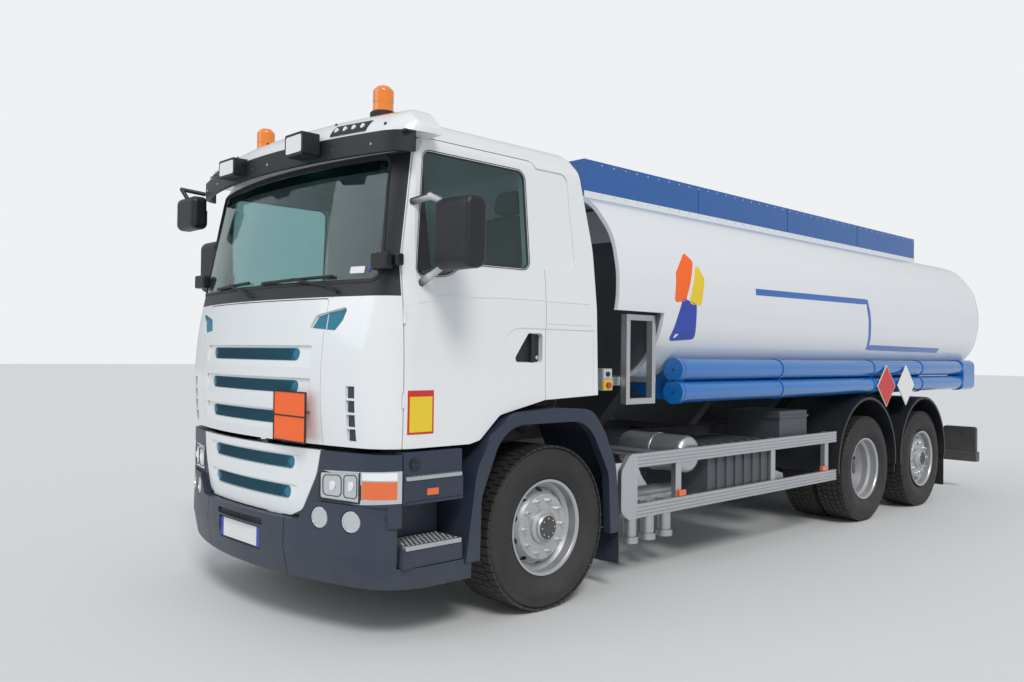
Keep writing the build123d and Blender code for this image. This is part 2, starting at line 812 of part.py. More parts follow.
def beacons(roof):
    """Amber beacons on stepped bases near the front of the roof."""
    made = []
    x, z = station(beacon_x), cab_roof
    profile = [(0, z - 60), (78, z - 60), (78, z + 30), (62, z + 45), (60, z + 85), (62, z + 92),
               (62, z + 165, 20), (36, z + 192, 20), (0, z + 195)]
    light = revolve(Plane.XZ * outline(profile), axis=Axis.Z)
    for side in (-1, 1):
        made.append(Pos(x, side * beacon_y, 0) * light - roof)
    return made


def bar(start, end, radius):
    """Round bar between two points."""
    line = Vector(*end) - Vector(*start)
    middle = (Vector(*start) + Vector(*end)) * 0.5
    return Plane(origin=middle, z_dir=line) * Cylinder(radius, line.length)


def mirror_arm(outer):
    """Left door mirror: a tall round-cornered housing on two arms."""
    x = station(940)
    y0 = cab_half_width + 130
    housing = block(x - 75, x + 75, y0, y0 + 262, 2040, 2430)
    housing = fillet(housing.edges().filter_by(Axis.Y), 60)
    housing = fillet(housing.edges().sort_by(Axis.Y)[-4:], 35)
    skin_y = cab_half_width - 55
    shape = housing
    shape += bar((station(1035), skin_y, 2425), (station(1000), cab_half_width + 60, 2445), 20)
    shape += bar((station(1000), cab_half_width + 60, 2445), (x, y0 + 60, 2395), 18)
    shape += Pos(station(1000), cab_half_width + 60, 2445) * Sphere(21)
    shape += bar((station(1000), cab_half_width - 25, 1970), (station(985), cab_half_width + 50, 2010), 22)
    shape += bar((station(985), cab_half_width + 50, 2010), (x, y0 + 60, 2100), 18)
    shape += Pos(station(985), cab_half_width + 50, 2010) * Sphere(22)
    return [shape - outer]


def front_mirror():
    """Close-range mirror at the right end of the visor, on a bent arm."""
    x = station(1250)
    housing = fillet(block(x - 65, x + 65, -1350, -1060, 2465, 2700).edges(), 45)
    root = (station(1140), -1229, 2745)
    elbow = (station(1290), -1300, 2770)
    arm = bar(root, elbow, 15) + bar(elbow, (x, -1235, 2660), 15) + Pos(*elbow) * Sphere(15)
    mirror_shape = housing + arm
    mirror_shape -= nose_volume(station(visor_front), cap_half_width, station(700), 2600, cap_foot,
                                corner=200)
    return [mirror_shape - roof_cap()]


def seats():
    """Two seats: base with cushion, and back with head rest."""
    solids = []
    for y in (-640, 640):
        cushion = fillet(block(station(30), station(540), y - 245, y + 245, 1730, 1860).edges(), 40)
        back = fillet(block(-70, 70, y - 235, y + 235, 20, 720).edges(), 45)
        head = fillet(block(-50, 50, y - 130, y + 130, 735, 900).edges(), 35)
        back += head + block(-12, 12, y - 60, y + 60, 700, 760)
        back = Pos(station(-20), 0, 1830) * Rot(0, -12, 0) * back
        base = block(station(110), station(470), y - 160, y + 160, cab_floor_top, 1740)
        base += block(station(20), station(120), y - 150, y + 150, 1660, 1740)
        cushion += base
        solids += [cushion, back - cushion]
    return solids


def dashboard(hollow):
    """Dashboard across the cab, with the steering wheel on its column."""
    dash = prism_y([
        (station(1400), 1480), (station(1400), 1900), (station(1080), 1975, 60),
        (station(870), 1900, 80), (station(900), 1720, 60), (station(1080), 1480),
    ], -dash_half_width, dash_half_width)
    dash &= hollow
    centre = (station(720), 640, 1915)
    tilt = Pos(*centre) * Rot(0, -45, 0)
    wheel = tilt * (Torus(225, 15) + Cylinder(55, 40) + Box(60, 430, 16))
    wheel += bar(centre, (station(925), 640, 1710), 32)
    return [dash, wheel - dash]


# Lower front, carried by the frame

def lower_panel_points():
    """Panel under the flap: its foot is narrower than its head."""
    right = [(490, bumper_top + 8, 60), (590, 690, 70), (705, 900, 200), (735, lower_panel_top)]
    left = [(-p[0],) + tuple(p[1:]) for p in reversed(right)]
    return right + left


def bumper_top_points():
    """Outline of the bumper's front view. It stands higher under the head lamps."""
    w = bumper_half_width + 20
    right = [(w, 200), (w, bumper_shoulder), (735, bumper_shoulder, 25), (600, bumper_top, 25)]
    left = [(-p[0],) + tuple(p[1:]) for p in reversed(right)]
    return right + left


def lower_nose(inset, back):
    return nose_volume(station(lower_panel_front), half_width - 10, station(back), 600, lower_panel_top,
                       inset)


def bumper_form(inset, back):
    """Bumper form: upright above the crease, drawn back below it."""
    nose = x_front
    upper = [(bumper_crease, nose), (bumper_shoulder, nose - 6)]
    lower = [(bumper_bottom, nose - 34), (bumper_crease, nose)]
    form = Part()
    for levels in (upper, lower):
        form += nose_stack(levels, bumper_half_width, station(back), inset, ruled=True,
                           radius=bumper_plan_radius, corner=bumper_corner_radius)
    return form


def lower_front():
    made = {}
    x = station
    # Lower panel with two ledges and slots
    panel = lower_nose(0, 900) - lower_nose(flap_wall, 800)
    panel &= prism_x(lower_panel_points(), x(1000), x(1500))
    front = x(lower_panel_front)
    for z, half in panel_slots:
        top, low = z + slot_height / 2 + 10, z - slot_height / 2 - 35
        panel -= skin_cut(top, low, ledge_depth - 4, -4, half + 60, lambda height: front)
        panel -= slot_cut(z, half, front, slot_depth)
    made["lower_panel"] = [panel]

    # Bumper in three parts, with the plate recess, the grip slot and the fog lamp seats
    bumper = bumper_form(0, 640) - bumper_form(bumper_wall, 500)
    bumper &= prism_x(bumper_top_points(), x(500), x(1600))
    bumper -= block(x(600), x(1130), -1400, 1400, 425, 800)
    for side in (-1, 1):
        bumper -= block(x(1200), x_front + 50, side * bumper_split - 3, side * bumper_split + 3, 200, 800)
        bumper -= prism_y(arch_points(), *sorted((side * 1100, side * 1300)), 3)
    bumper -= block(x_front - 26, x_front + 50, -262, 262, 420, 556)
    bumper -= prism_x([(-285, 568, 10), (285, 568, 10), (285, 606, 10), (-285, 606, 10)],
                      x_front - 30, x_front + 50)
    lamps = Part()
    fog_seats = ((768, 672), (982, 668))
    for side in (-1, 1):
        for y, z in fog_seats:
            bumper -= rod_x(x(1100), x(1500), side * y, z, fog_lamp_radius + 4)
            lamps += rod_x(x(1100), x(1500), side * y, z, fog_lamp_radius)
    fog = (bumper_form(4, 700) - bumper_form(bumper_wall + 20, 600)) & lamps
    made["front_bumper"] = [bumper]

    # Head lamps with their indicator ends, and the trim around them
    corner = lower_nose(0, 700) - lower_nose(70, 600)
    corner &= block(x(1120), x(1500), -1400, 1400, bumper_top + 8, lower_panel_top)
    corner -= prism_x(lower_panel_points(), x(600), x(1500), panel_gap)
    corner -= block(x(1000), x(1500), -560, 560, 600, 1100)
    head_lamp = [(726, 765, 25), (1030, 765), (1260, 785), (1260, 957), (1030, 943), (726, 930, 25)]
    lens = prism_x(head_lamp, x(1120), x(1500))
    lamp = corner & (lens + other_side(lens))
    trim = corner - lamp - bumper - fog
    trim -= prism_x(bumper_top_points(), x(1180), x(1500), 2)
    made["front_corners"] = [trim]
    made["front_lamps"] = [lamp, fog - bumper]

    # Steps: a folded well with two treads on each side, and the panel under the door
    stair = [(820, 430), (1235, 430), (1235, 535, 20), (1000, 535), (1000, 770), (1235, 770),
             (1235, 905, 10), (1222, 905), (1222, 1052, 12), (1150, 1052), (1150, 920), (820, 920)]
    well = prism_x(stair, x(705), x(1115))
    made["step_wells"] = both_sides(well)
    return made


def arch_points():
    """Outer line of the front wheel arch, seen from the side."""
    x = station
    return [
        (x(690), 400), (x(612), 925, 260), (x(500), 1110, 150), (x(330), 1237, 220), (x(-60), 1257),
        (x(-390), 1237, 180), (x(-520), 1080, 200), (x(-632), 860, 260), (x(-690), 400),
    ]


def front_mudguards():
    """Arch lip around each front wheel, with its liner and mudflap."""
    x = station
    arch = arch_points()
    mouth = [
        (x(585), 300), (x(575), 760, 200), (x(400), 1165, 260), (x(-350), 1165, 260),
        (x(-560), 800, 200), (x(-590), 300),
    ]
    lip = prism_y(arch, 1190, half_width) - prism_y(mouth, 1100, 1400)
    liner = prism_y(arch, 640, 1190) - prism_y(arch, 600, 1300, -12)
    liner -= block(x(-800), x(800), 600, 1200, 300, 412)
    flap = block(x(-688), x(-678), 860, 1240, 180, 402)
    guard = lip + liner + flap
    return both_sides(guard)


# Tank and what it carries

def tank_section():
    """Rounded box section, drawn full size."""
    w = tank_half_width
    mid = (tank_top + tank_bottom) / 2
    h = (tank_top - tank_bottom) / 2
    quarter = [(w, mid + 90, 600), (w - 52, mid + 350, 500), (w - 300, mid + h - 45, 420)]
    top_left = [(-p[0],) + p[1:] for p in reversed(quarter)]
    top = quarter + [(0, mid + h, 1500)] + top_left
    bottom = [(p[0], 2 * mid - p[1]) + p[2:] for p in reversed(top)]
    return top + bottom


def tank_nodes():
    made = {}
    x0, x1 = x_rear, station(-tank_front)
    body = prism_x(tank_section(), x0, x1)
    rear_edges = body.faces().sort_by(Axis.X)[0].edges()
    body = fillet(rear_edges, tank_end_radius)
    shroud = prism_x(tank_section(), x1, station(-shroud_front))
    shroud -= prism_x(tank_section(), x1, station(-shroud_front), -shroud_wall)
    shroud &= block(x1, x1 + 800, -1400, 1400, shroud_edge_height, tank_top + 50)
    made["tank_shell"] = [body + shroud]
    plate = prism_x(tank_section(), x1, x1 + bulkhead_wall, -shroud_wall - 1)
    made["tank_bulkhead"] = [plate]
    return made


def catwalk():
    """Side boards, deck and manhole collars on the tank's crown."""
    x0, x1 = station(-catwalk_rear), station(-catwalk_front)
    y1, y0 = catwalk_half_width, catwalk_half_width - catwalk_board_wall
    tank = prism_x(tank_section(), x0 - 10, x1 + 10)
    frame = Part()
    for side in (-1, 1):
        frame += block(x0, x1, side * y0, side * y1, tank_top - 120, catwalk_board_top)
    frame += block(x0, x0 + 20, -y1, y1, tank_top - 120, catwalk_board_top)
    frame += block(x1 - 20, x1, -y1, y1, tank_top - 120, catwalk_board_top)
    deck = block(x0, x1, -y1, y1, tank_top + 10, tank_top + 22)
    frame += deck
    for x in manhole_places():
        frame += rod_z(tank_top - 60, tank_top + 90, x, 0, manhole_radius)
        hinge_x = x - cover_hinge_back
        for y in (-64, 64):
            frame += block(hinge_x - 14, hinge_x + 14, y - 8, y + 8, tank_top + 20, cover_hinge_z + 14)
        frame += rod_y(-64, 64, hinge_x, cover_hinge_z, cover_pin_radius)
    return [frame - tank]


def manhole_places():
    length = catwalk_rear - catwalk_front
    first = station(-catwalk_front) - length / (2 * manhole_count)
    return [first - k * length / manhole_count for k in range(manhole_count)]


def manhole_covers():
    """Hinged covers on the collars."""
    made = {}
    for k, x in enumerate(manhole_places()):
        hinge_x = x - cover_hinge_back
        cover = rod_z(tank_top + 98, tank_top + 122, x, 0, manhole_radius - 10)
        cover += rod_z(tank_top + 115, tank_top + 134, x, 0, 95)
        cover += block(hinge_x, x - 100, -48, 48, tank_top + 98, tank_top + 122)
        cover += rod_y(-48, 48, hinge_x, cover_hinge_z, 18)
        cover -= rod_y(-70, 70, hinge_x, cover_hinge_z, cover_pin_radius + running_clearance)
        made[f"manhole_cover_{k + 1}"] = [cover]
    return made


def tank_saddles():
    """Cross bearers between the frame and the tank."""
    made = []
    tank = prism_x(tank_section(), x_rear - 10, station(0))
    for d in (-1350, -2700, -3900, -5180, -6500):
        x = station(d)
        bearer = prism_x([(-frame_half_width, frame_top), (frame_half_width, frame_top),
                          (880, tank_bottom + 120), (-880, tank_bottom + 120)], x - 60, x + 60)
        made.append(bearer - tank)
    return made


def hose_tubes():
    """Two long hose tubes on each side, with collars, end covers and brackets."""
    x0, x1 = station(-7100), station(-1420)
    solids = []
    tank = prism_x(tank_section(), x0 - 500, x1 + 100)
    one = Part()
    for z in (tube_upper_z, tube_lower_z):
        one += rod_x(x0, x1, tube_y, z, tube_radius)
        for d in (-1470, -2900, -4700, -5900, -7080):
            one += rod_x(station(d) - 12, station(d) + 12, tube_y, z, tube_radius + 8)
    for d in (-1500, -2900, -4700, -5900):
        x = station(d)
        one += prism_x([(700, tube_lower_z - 20), (tube_y, tube_lower_z - tube_radius - 6),
                        (tube_y, tube_upper_z + 60), (1020, tube_upper_z + 60), (700, tube_lower_z + 80)],
                       x - 5, x + 5)
    cover = block(x0 - 350, x0 + 5, tube_y - 95, tube_y + 88, tube_lower_z - 92, tube_upper_z + 92)
    one += fillet(cover.edges().filter_by(Axis.X), 70)
    one -= tank
    return both_sides(one)


def side_guards():
    """Ribbed rails, uprights and a rounded front post on each side."""
    x = station
    y1, y0 = guard_y, guard_y - guard_rail_wall
    one = Part()
    for z0, front in ((812, -850), (462, -780)):
        grooves = []
        for k in (1, 2, 3):
            z = z0 + k * guard_rail_height / 4
            grooves += [(y1, z - 5), (y1 - 7, z - 3), (y1 - 7, z + 3), (y1, z + 5)]
        top = z0 + guard_rail_height
        section = [(y0, z0), (y1, z0, 8)] + grooves + [(y1, top, 8), (y0, top)]
        one += prism_x(section, x(-3840), x(front))
    post = [(x(-790), 462), (x(-705), 520, 60), (x(-705), 800, 60), (x(-800), 912, 60), (x(-880), 912),
            (x(-880), 462)]
    one += prism_y(post, y0 - 6, y1)
    for d in (-1400, -2750, -3700):
        one += block(x(d) - 35, x(d) + 35, y0 - 40, y0, 462, 912)
        one += rod_y(frame_half_width, y0 - 20, x(d), frame_top - 120, 30)
    return both_sides(one)


def side_boxes():
    """Ribbed battery box and fuel tank, with a lidded case above."""
    x = station
    made = []
    tank = fillet(block(x(-2700), x(-1800), 620, 1185, 500, 900).edges().filter_by(Axis.X), 70)
    for k in range(7):
        rib = x(-2640 + k * 130)
        tank += fillet(block(rib, rib + 60, 610, 1197, 488, 912).edges().filter_by(Axis.X), 76)
    hanger = block(x(-2600), x(-1860), frame_half_width, 630, 720, 860)
    made += both_sides(tank + hanger)
    case = block(x(-3440), x(-2960), 640, 1150, 880, 1120)
    case += block(x(-3452), x(-2948), 630, 1160, 1062, 1082)
    case += block(x(-3400), x(-3000), frame_half_width, 650, 880, 950)
    made += both_sides(case)
    return made


def air_reservoirs():
    """Cross-lying air reservoirs under straps."""
    x = station
    made = []
    for side in (-1, 1):
        y0, y1 = sorted((side * 560, side * 1180))
        tank = fillet(rod_y(y0, y1, x(-1600), 850, 140).edges(), 45)
        strap = rod_y(side * 860 - 25, side * 860 + 25, x(-1600), 850, 146)
        hanger_y = sorted((side * frame_half_width, side * 600))
        hanger = block(x(-1640), x(-1560), hanger_y[0], hanger_y[1], 780, 920)
        made.append(tank + strap + hanger)
    return made


def discharge():
    """Discharge manifold with capped outlets on the left side."""
    x = station
    bottom = frame_top - frame_rail_height
    pipe = rod_y(-360, 960, x(-1180), 560, 55)
    pipe += rod_x(x(-1640), x(-1090), 960, 560, 58)
    for d in (-1150, -1360, -1570):
        pipe += rod_z(215, 560, x(d), 960, outlet_radius)
        pipe += rod_z(400, 430, x(d), 960, outlet_radius + 22)
        pipe += rod_z(215, 262, x(d), 960, outlet_radius + 14)
    for y in (-330, 330):
        pipe += block(x(-1230), x(-1130), y - 20, y + 20, 560, bottom)
    return [pipe]


def access_frame():
    """Aluminium frame at the tank's front corner, with plates and switch boxes."""
    x = station
    one = Part()
    for d in (-840, -1130):
        one += block(x(d) - 20, x(d) + 20, 1130, 1180, 1250, 1880)
    for z in (1250, 1840):
        one += block(x(-1150), x(-820), 1130, 1180, z, z + 40)
    one += block(x(-1180), x(-1110), 600, 1160, 1400, 1440)
    boxes = block(x(-700), x(-600), 1000, 1150, 1350, 1500)
    one += block(x(-850), x(-640), 1060, 1100, 1380, 1440)
    one -= prism_x(tank_section(), x_rear, station(-tank_front) + bulkhead_wall)
    return both_sides(one) + both_sides(boxes - one)


def rear_mudguards():
    """Half-round guards over the drive wheels and the tag wheels, with their flaps."""
    made = []
    for x, r, flap_foot in ((x_drive, 640, 430), (x_tag, 610, 170)):
        inner, outer = r - 25, r
        z = axle_z + 60
        ring = rod_y(560, half_width, x, z, outer) - rod_y(500, 1400, x, z, inner)
        ring &= block(x - 900, x + 900, 500, 1400, z - 60, 1400)
        ring += block(x - outer + 2, x - outer + 14, 600, half_width - 15, flap_foot, z - 40)
        made += both_sides(ring)
    return made


def rear_bumper():
    """Under-run bar on two arms, with a lamp board at each end."""
    x = station
    bar = block(x(-7720), x(-7600), -1200, 1200, 335, 455)
    bar = fillet(bar.edges().filter_by(Axis.Y), 15)
    for side in (-1, 1):
        arm = block(x(-7680), x(-7560), side * 380, side * 425, 400, 700)
        bar += arm
        board = block(x(-7680), x(-7620), side * 810, side * 1190, 445, 760)
        bar += fillet(board.edges().filter_by(Axis.X), 30)
    return [bar]


def engine():
    """Engine as one plain block, between the rails under the cab."""
    return [block(station(-450), station(800), -engine_half_width, engine_half_width, 560, 1430)]


nodes = {}
nodes["chassis_frame"] = chassis_frame()
nodes["engine_block"] = engine()
nodes["front_axle"] = front_axle()
nodes["tie_rod"] = tie_rod()
nodes["rear_axles"] = rear_axles()
nodes["suspension"] = suspension()
left_knuckle = knuckle()
nodes["knuckle_left"] = [left_knuckle]
nodes["knuckle_right"] = [other_side(left_knuckle)]
nodes.update(wheel_nodes())
nodes.update(cab_nodes())
nodes["seats"] = seats()
nodes["front_mirror"] = front_mirror()
nodes.update(lower_front())
nodes["front_mudguards"] = front_mudguards()
nodes.update(tank_nodes())
nodes["catwalk"] = catwalk()
nodes.update(manhole_covers())
nodes["hose_tubes"] = hose_tubes()
nodes["side_guards"] = side_guards()
nodes["side_boxes"] = side_boxes()
nodes["air_reservoirs"] = air_reservoirs()
nodes["discharge_valves"] = discharge()
nodes["access_frames"] = access_frame()
nodes["rear_mudguards"] = rear_mudguards()
nodes["rear_bumper"] = rear_bumper()

os.makedirs("parts", exist_ok=True)
for name, shapes in nodes.items():
    solids = [solid for shape in shapes for solid in shape.solids()]
    export_step(Compound(label=name, children=solids), f"parts/{name}.step")
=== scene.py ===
# %% [markdown]
# A three-axle tanker truck, dressed for its portrait.
# The construction comes in as a fixed frame: every panel, wheel and hinge is already in its place.
# This lesson gives each surface its finish and adds the small forms that make a working truck:
# mesh in the grille slots, wheel nuts, tread, lamps, wipers, stripes and seams.

# %% Load the frame
import math

import bmesh
import bpy
from mathutils import Matrix, Vector
from mathutils.bvhtree import BVHTree


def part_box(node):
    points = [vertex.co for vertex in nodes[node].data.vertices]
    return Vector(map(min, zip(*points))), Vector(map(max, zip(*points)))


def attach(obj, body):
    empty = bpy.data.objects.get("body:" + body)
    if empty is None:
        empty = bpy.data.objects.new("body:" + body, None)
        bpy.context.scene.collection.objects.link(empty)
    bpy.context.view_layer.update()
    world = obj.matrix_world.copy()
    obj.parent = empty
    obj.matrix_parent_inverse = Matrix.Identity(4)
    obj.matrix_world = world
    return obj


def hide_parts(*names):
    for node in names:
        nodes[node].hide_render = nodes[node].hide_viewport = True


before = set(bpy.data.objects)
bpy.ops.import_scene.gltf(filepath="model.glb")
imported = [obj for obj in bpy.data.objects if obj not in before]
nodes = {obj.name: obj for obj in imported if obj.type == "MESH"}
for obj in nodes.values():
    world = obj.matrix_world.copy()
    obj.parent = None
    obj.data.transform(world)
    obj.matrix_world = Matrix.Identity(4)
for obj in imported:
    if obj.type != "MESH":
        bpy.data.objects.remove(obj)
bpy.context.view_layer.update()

# %% [markdown]
# Most places on a truck are known as a distance from the front axle, so a small function turns
# such a distance into the frame's X. The axle's own place is read from the front tyre.

# %% Stations along the truck
tyre_low, tyre_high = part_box("tyre_front_left")
front_axle_x = (tyre_low.x + tyre_high.x) / 2
axle_z = (tyre_low.z + tyre_high.z) / 2


def station(ahead):
    """X of a place given in metres ahead of the front axle."""
    return front_axle_x + ahead


print("front axle at X", round(front_axle_x, 3), "and Z", round(axle_z, 3))

# %% [markdown]
# The portrait is taken from the truck's front left corner at the height of a standing person.
# The lens is as wide as the picture's perspective asks for. The camera leans by less than a degree,
# as a camera held in the hand does.

# %% Camera
photo_width = 1024
focal_pixels = 871.7
sensor_width = 36.0
camera_place = Vector((station(3.94), 5.01, 1.593))
camera_yaw = math.radians(226.32)
camera_pitch = math.radians(0.84)
camera_roll = math.radians(0.72)

camera_data = bpy.data.cameras.new("portrait")
camera_data.sensor_width = sensor_width
camera_data.lens = focal_pixels * sensor_width / photo_width
camera_data.clip_end = 500.0
camera = bpy.data.objects.new("portrait", camera_data)
bpy.context.collection.objects.link(camera)
bpy.context.scene.camera = camera

ahead = Vector((math.cos(camera_yaw) * math.cos(camera_pitch),
                math.sin(camera_yaw) * math.cos(camera_pitch),
                math.sin(camera_pitch)))
level_right = Vector((math.sin(camera_yaw), -math.cos(camera_yaw), 0.0))
level_up = level_right.cross(ahead)
right = level_right * math.cos(camera_roll) + level_up * math.sin(camera_roll)
up = level_up * math.cos(camera_roll) - level_right * math.sin(camera_roll)
turn = Matrix((right, up, -ahead)).transposed().to_4x4()
camera.matrix_world = Matrix.Translation(camera_place) @ turn
print("lens", round(camera_data.lens, 2), "mm")

# %% [markdown]
# Light, materials and grown shapes are all trees of nodes in Blender. A node has settings, and inputs
# that hold a plain value or a link from another node. A few helpers cover all of that, so that each
# tree below reads as a list of its nodes.

# %% Nodes and groups


def fill(node, inputs):
    """Gives a node's inputs plain values, or links them to sockets of other nodes."""
    for key, value in inputs.items():
        if isinstance(value, bpy.types.NodeSocket):
            node.id_data.links.new(value, node.inputs[key])
        else:
            node.inputs[key].default_value = value
    return node


def add(tree, kind, inputs=None, **settings):
    """A new node with its settings and inputs."""
    node = tree.nodes.new(kind)
    for key, value in settings.items():
        setattr(node, key, value)
    return fill(node, inputs or {})


def calculate(tree, operation, a, b=0.0, clamp=False):
    """Output of a Math node on two values or sockets."""
    return add(tree, "ShaderNodeMath", {0: a, 1: b}, operation=operation, use_clamp=clamp).outputs[0]


def new_group(name, kind, inputs, outputs):
    """A group, its given sockets and its end node; a socket is a kind and perhaps a usual value."""
    group = bpy.data.node_groups.new(name, kind)
    for direction, sockets in (("INPUT", inputs), ("OUTPUT", outputs)):
        for label, (socket_kind, *usual) in sockets.items():
            socket = group.interface.new_socket(label, in_out=direction,
                                                socket_type="NodeSocket" + socket_kind)
            if usual:
                socket.default_value = usual[0]
    return group, group.nodes.new("NodeGroupInput").outputs, group.nodes.new("NodeGroupOutput")


print("node helpers:", fill.__name__, add.__name__, calculate.__name__, new_group.__name__)

# %% [markdown]
# Studio light is large and soft. The sky is one pale dome, a broad sun with a wide angle gives the
# forms a lit side, and a pale floor throws light back under the chassis. The dome looks brighter to
# the camera than it shines, so that the backdrop is pale and the white paint still keeps its shades.

# %% Light
scene = bpy.context.scene
scene.view_settings.view_transform = "Standard"
world = bpy.data.worlds.new("studio")
scene.world = world
world.use_nodes = True
tree = world.node_tree
tree.nodes.clear()
lit = add(tree, "ShaderNodeBackground", {"Color": (0.92, 0.96, 1.0, 1.0), "Strength": 0.55})
seen = add(tree, "ShaderNodeBackground", {"Color": (0.86, 0.88, 0.90, 1.0), "Strength": 1.0})
rays = add(tree, "ShaderNodeLightPath").outputs
either = calculate(tree, "MAXIMUM", rays["Is Camera Ray"], rays["Is Transmission Ray"])
mix = add(tree, "ShaderNodeMixShader", {0: either, 1: lit.outputs[0], 2: seen.outputs[0]})
add(tree, "ShaderNodeOutputWorld", {0: mix.outputs[0]})

suns = {
    "key": ((-0.35, -0.62, -0.72), 1.55, 18, (1.0, 0.98, 0.94)),
    "fill": ((-0.8, 0.35, -0.45), 0.5, 40, (0.92, 0.96, 1.0)),
}
for name, (direction, strength, angle, colour) in suns.items():
    data = bpy.data.lights.new(name, "SUN")
    data.energy = strength
    data.angle = math.radians(angle)
    data.color = colour
    lamp = bpy.data.objects.new(name, data)
    lamp.rotation_euler = Vector(direction).to_track_quat("-Z", "Y").to_euler()
    bpy.context.collection.objects.link(lamp)
print("suns:", ", ".join(suns))

# %% [markdown]
# Paint, plastic and rubber share two effects: a film of road dust that is thicker near the ground,
# and a fine grain in the surface with a roughness that wanders a little. Each is a shader node group,
# made once and placed in every material with its own values.

# %% Shared effects


def noise(tree, vector, scale, detail, roughness=0.55):
    """Value of a Noise texture."""
    inputs = {"Vector": vector, "Scale": scale, "Detail": detail, "Roughness": roughness}
    return add(tree, "ShaderNodeTexNoise", inputs).outputs[0]


def make_road_film():
    """Dust that settles low down and in patches: a colour and a mask."""
    group, given, end = new_group(
        "road_film", "ShaderNodeTree",
        {"Paint": ("Color", (0.8, 0.8, 0.8, 1.0)), "Dust": ("Color", (0.30, 0.28, 0.25, 1.0)),
         "Amount": ("Float", 0.3), "Reach": ("Float", 1.2), "Everywhere": ("Float", 0.03)},
        {"Colour": ("Color",), "Mask": ("Float",)})
    place = add(group, "ShaderNodeTexCoord").outputs["Object"]
    split = add(group, "ShaderNodeSeparateXYZ", {0: place})
    height = calculate(group, "DIVIDE", split.outputs[2], given["Reach"])
    low = calculate(group, "SUBTRACT", 1.0, height, clamp=True)
    low = calculate(group, "POWER", low, 1.6)
    patches = calculate(group, "MULTIPLY", noise(group, place, 5.5, 6.0, 0.65), 1.9)
    mask = calculate(group, "MULTIPLY", low, given["Amount"])
    mask = calculate(group, "ADD", mask, given["Everywhere"])
    mask = calculate(group, "MULTIPLY", mask, patches, clamp=True)
    blend = add(group, "ShaderNodeMix", {"Factor": mask, "A": given["Paint"], "B": given["Dust"]},
                data_type="RGBA")
    fill(end, {"Colour": blend.outputs["Result"], "Mask": mask})
    return group


def make_grain():
    """Fine surface grain: a height for bump and a roughness that wanders a little."""
    group, given, end = new_group(
        "grain", "ShaderNodeTree",
        {"Scale": ("Float", 400.0), "Roughness": ("Float", 0.4), "Spread": ("Float", 0.1),
         "Dust": ("Float", 0.0)},
        {"Height": ("Float",), "Roughness Out": ("Float",)})
    place = add(group, "ShaderNodeTexCoord").outputs["Object"]
    slow = calculate(group, "SUBTRACT", noise(group, place, 3.2, 4.0), 0.5)
    rough = calculate(group, "ADD", calculate(group, "MULTIPLY", slow, given["Spread"]), given["Roughness"])
    dusty = calculate(group, "MULTIPLY", given["Dust"], 0.6)
    rough = calculate(group, "ADD", rough, dusty, clamp=True)
    fill(end, {"Height": noise(group, place, given["Scale"], 2.0), "Roughness Out": rough})
    return group


road_film = make_road_film()
grain = make_grain()
print("shader groups:", road_film.name, grain.name)

# %% [markdown]
# One function makes every opaque finish. The table below it is the truck's paint shop: a colour, how
# polished the surface is, whether it is metal, how thick its clear coat is and how much dust it
# takes. A table keeps like finishes side by side, so that their shades can be compared.

# %% Finishes


def new_material(name):
    """A material with its node tree and its main shader."""
    material = bpy.data.materials.new(name)
    material.use_nodes = True
    return material, material.node_tree, material.node_tree.nodes["Principled BSDF"]


def finish(name, colour, rough, metal=0.0, coat=0.0, dust=0.25, grain_scale=500.0, grain_depth=0.0002,
           spread=0.12, everywhere=0.03, reach=1.3):
    """A painted, moulded, cast or rolled surface."""
    material, tree, shader = new_material(name)
    film = add(tree, "ShaderNodeGroup", {"Paint": (*colour, 1.0), "Amount": dust, "Everywhere": everywhere,
                                         "Reach": reach}, node_tree=road_film)
    speck = add(tree, "ShaderNodeGroup", {"Scale": grain_scale, "Roughness": rough, "Spread": spread,
                                          "Dust": film.outputs["Mask"]}, node_tree=grain)
    bump = add(tree, "ShaderNodeBump", {"Distance": grain_depth, "Height": speck.outputs["Height"]})
    fill(shader, {"Base Color": film.outputs["Colour"], "Roughness": speck.outputs["Roughness Out"],
                  "Normal": bump.outputs["Normal"], "Metallic": metal, "Coat Weight": coat,
                  "Coat Roughness": 0.06})
    return material


def clear(name, colour):
    """Clear glass, tinted by its colour."""
    material, _, shader = new_material(name)
    fill(shader, {"Base Color": (*colour, 1.0), "Roughness": 0.03, "IOR": 1.45, "Transmission Weight": 1.0})
    return material


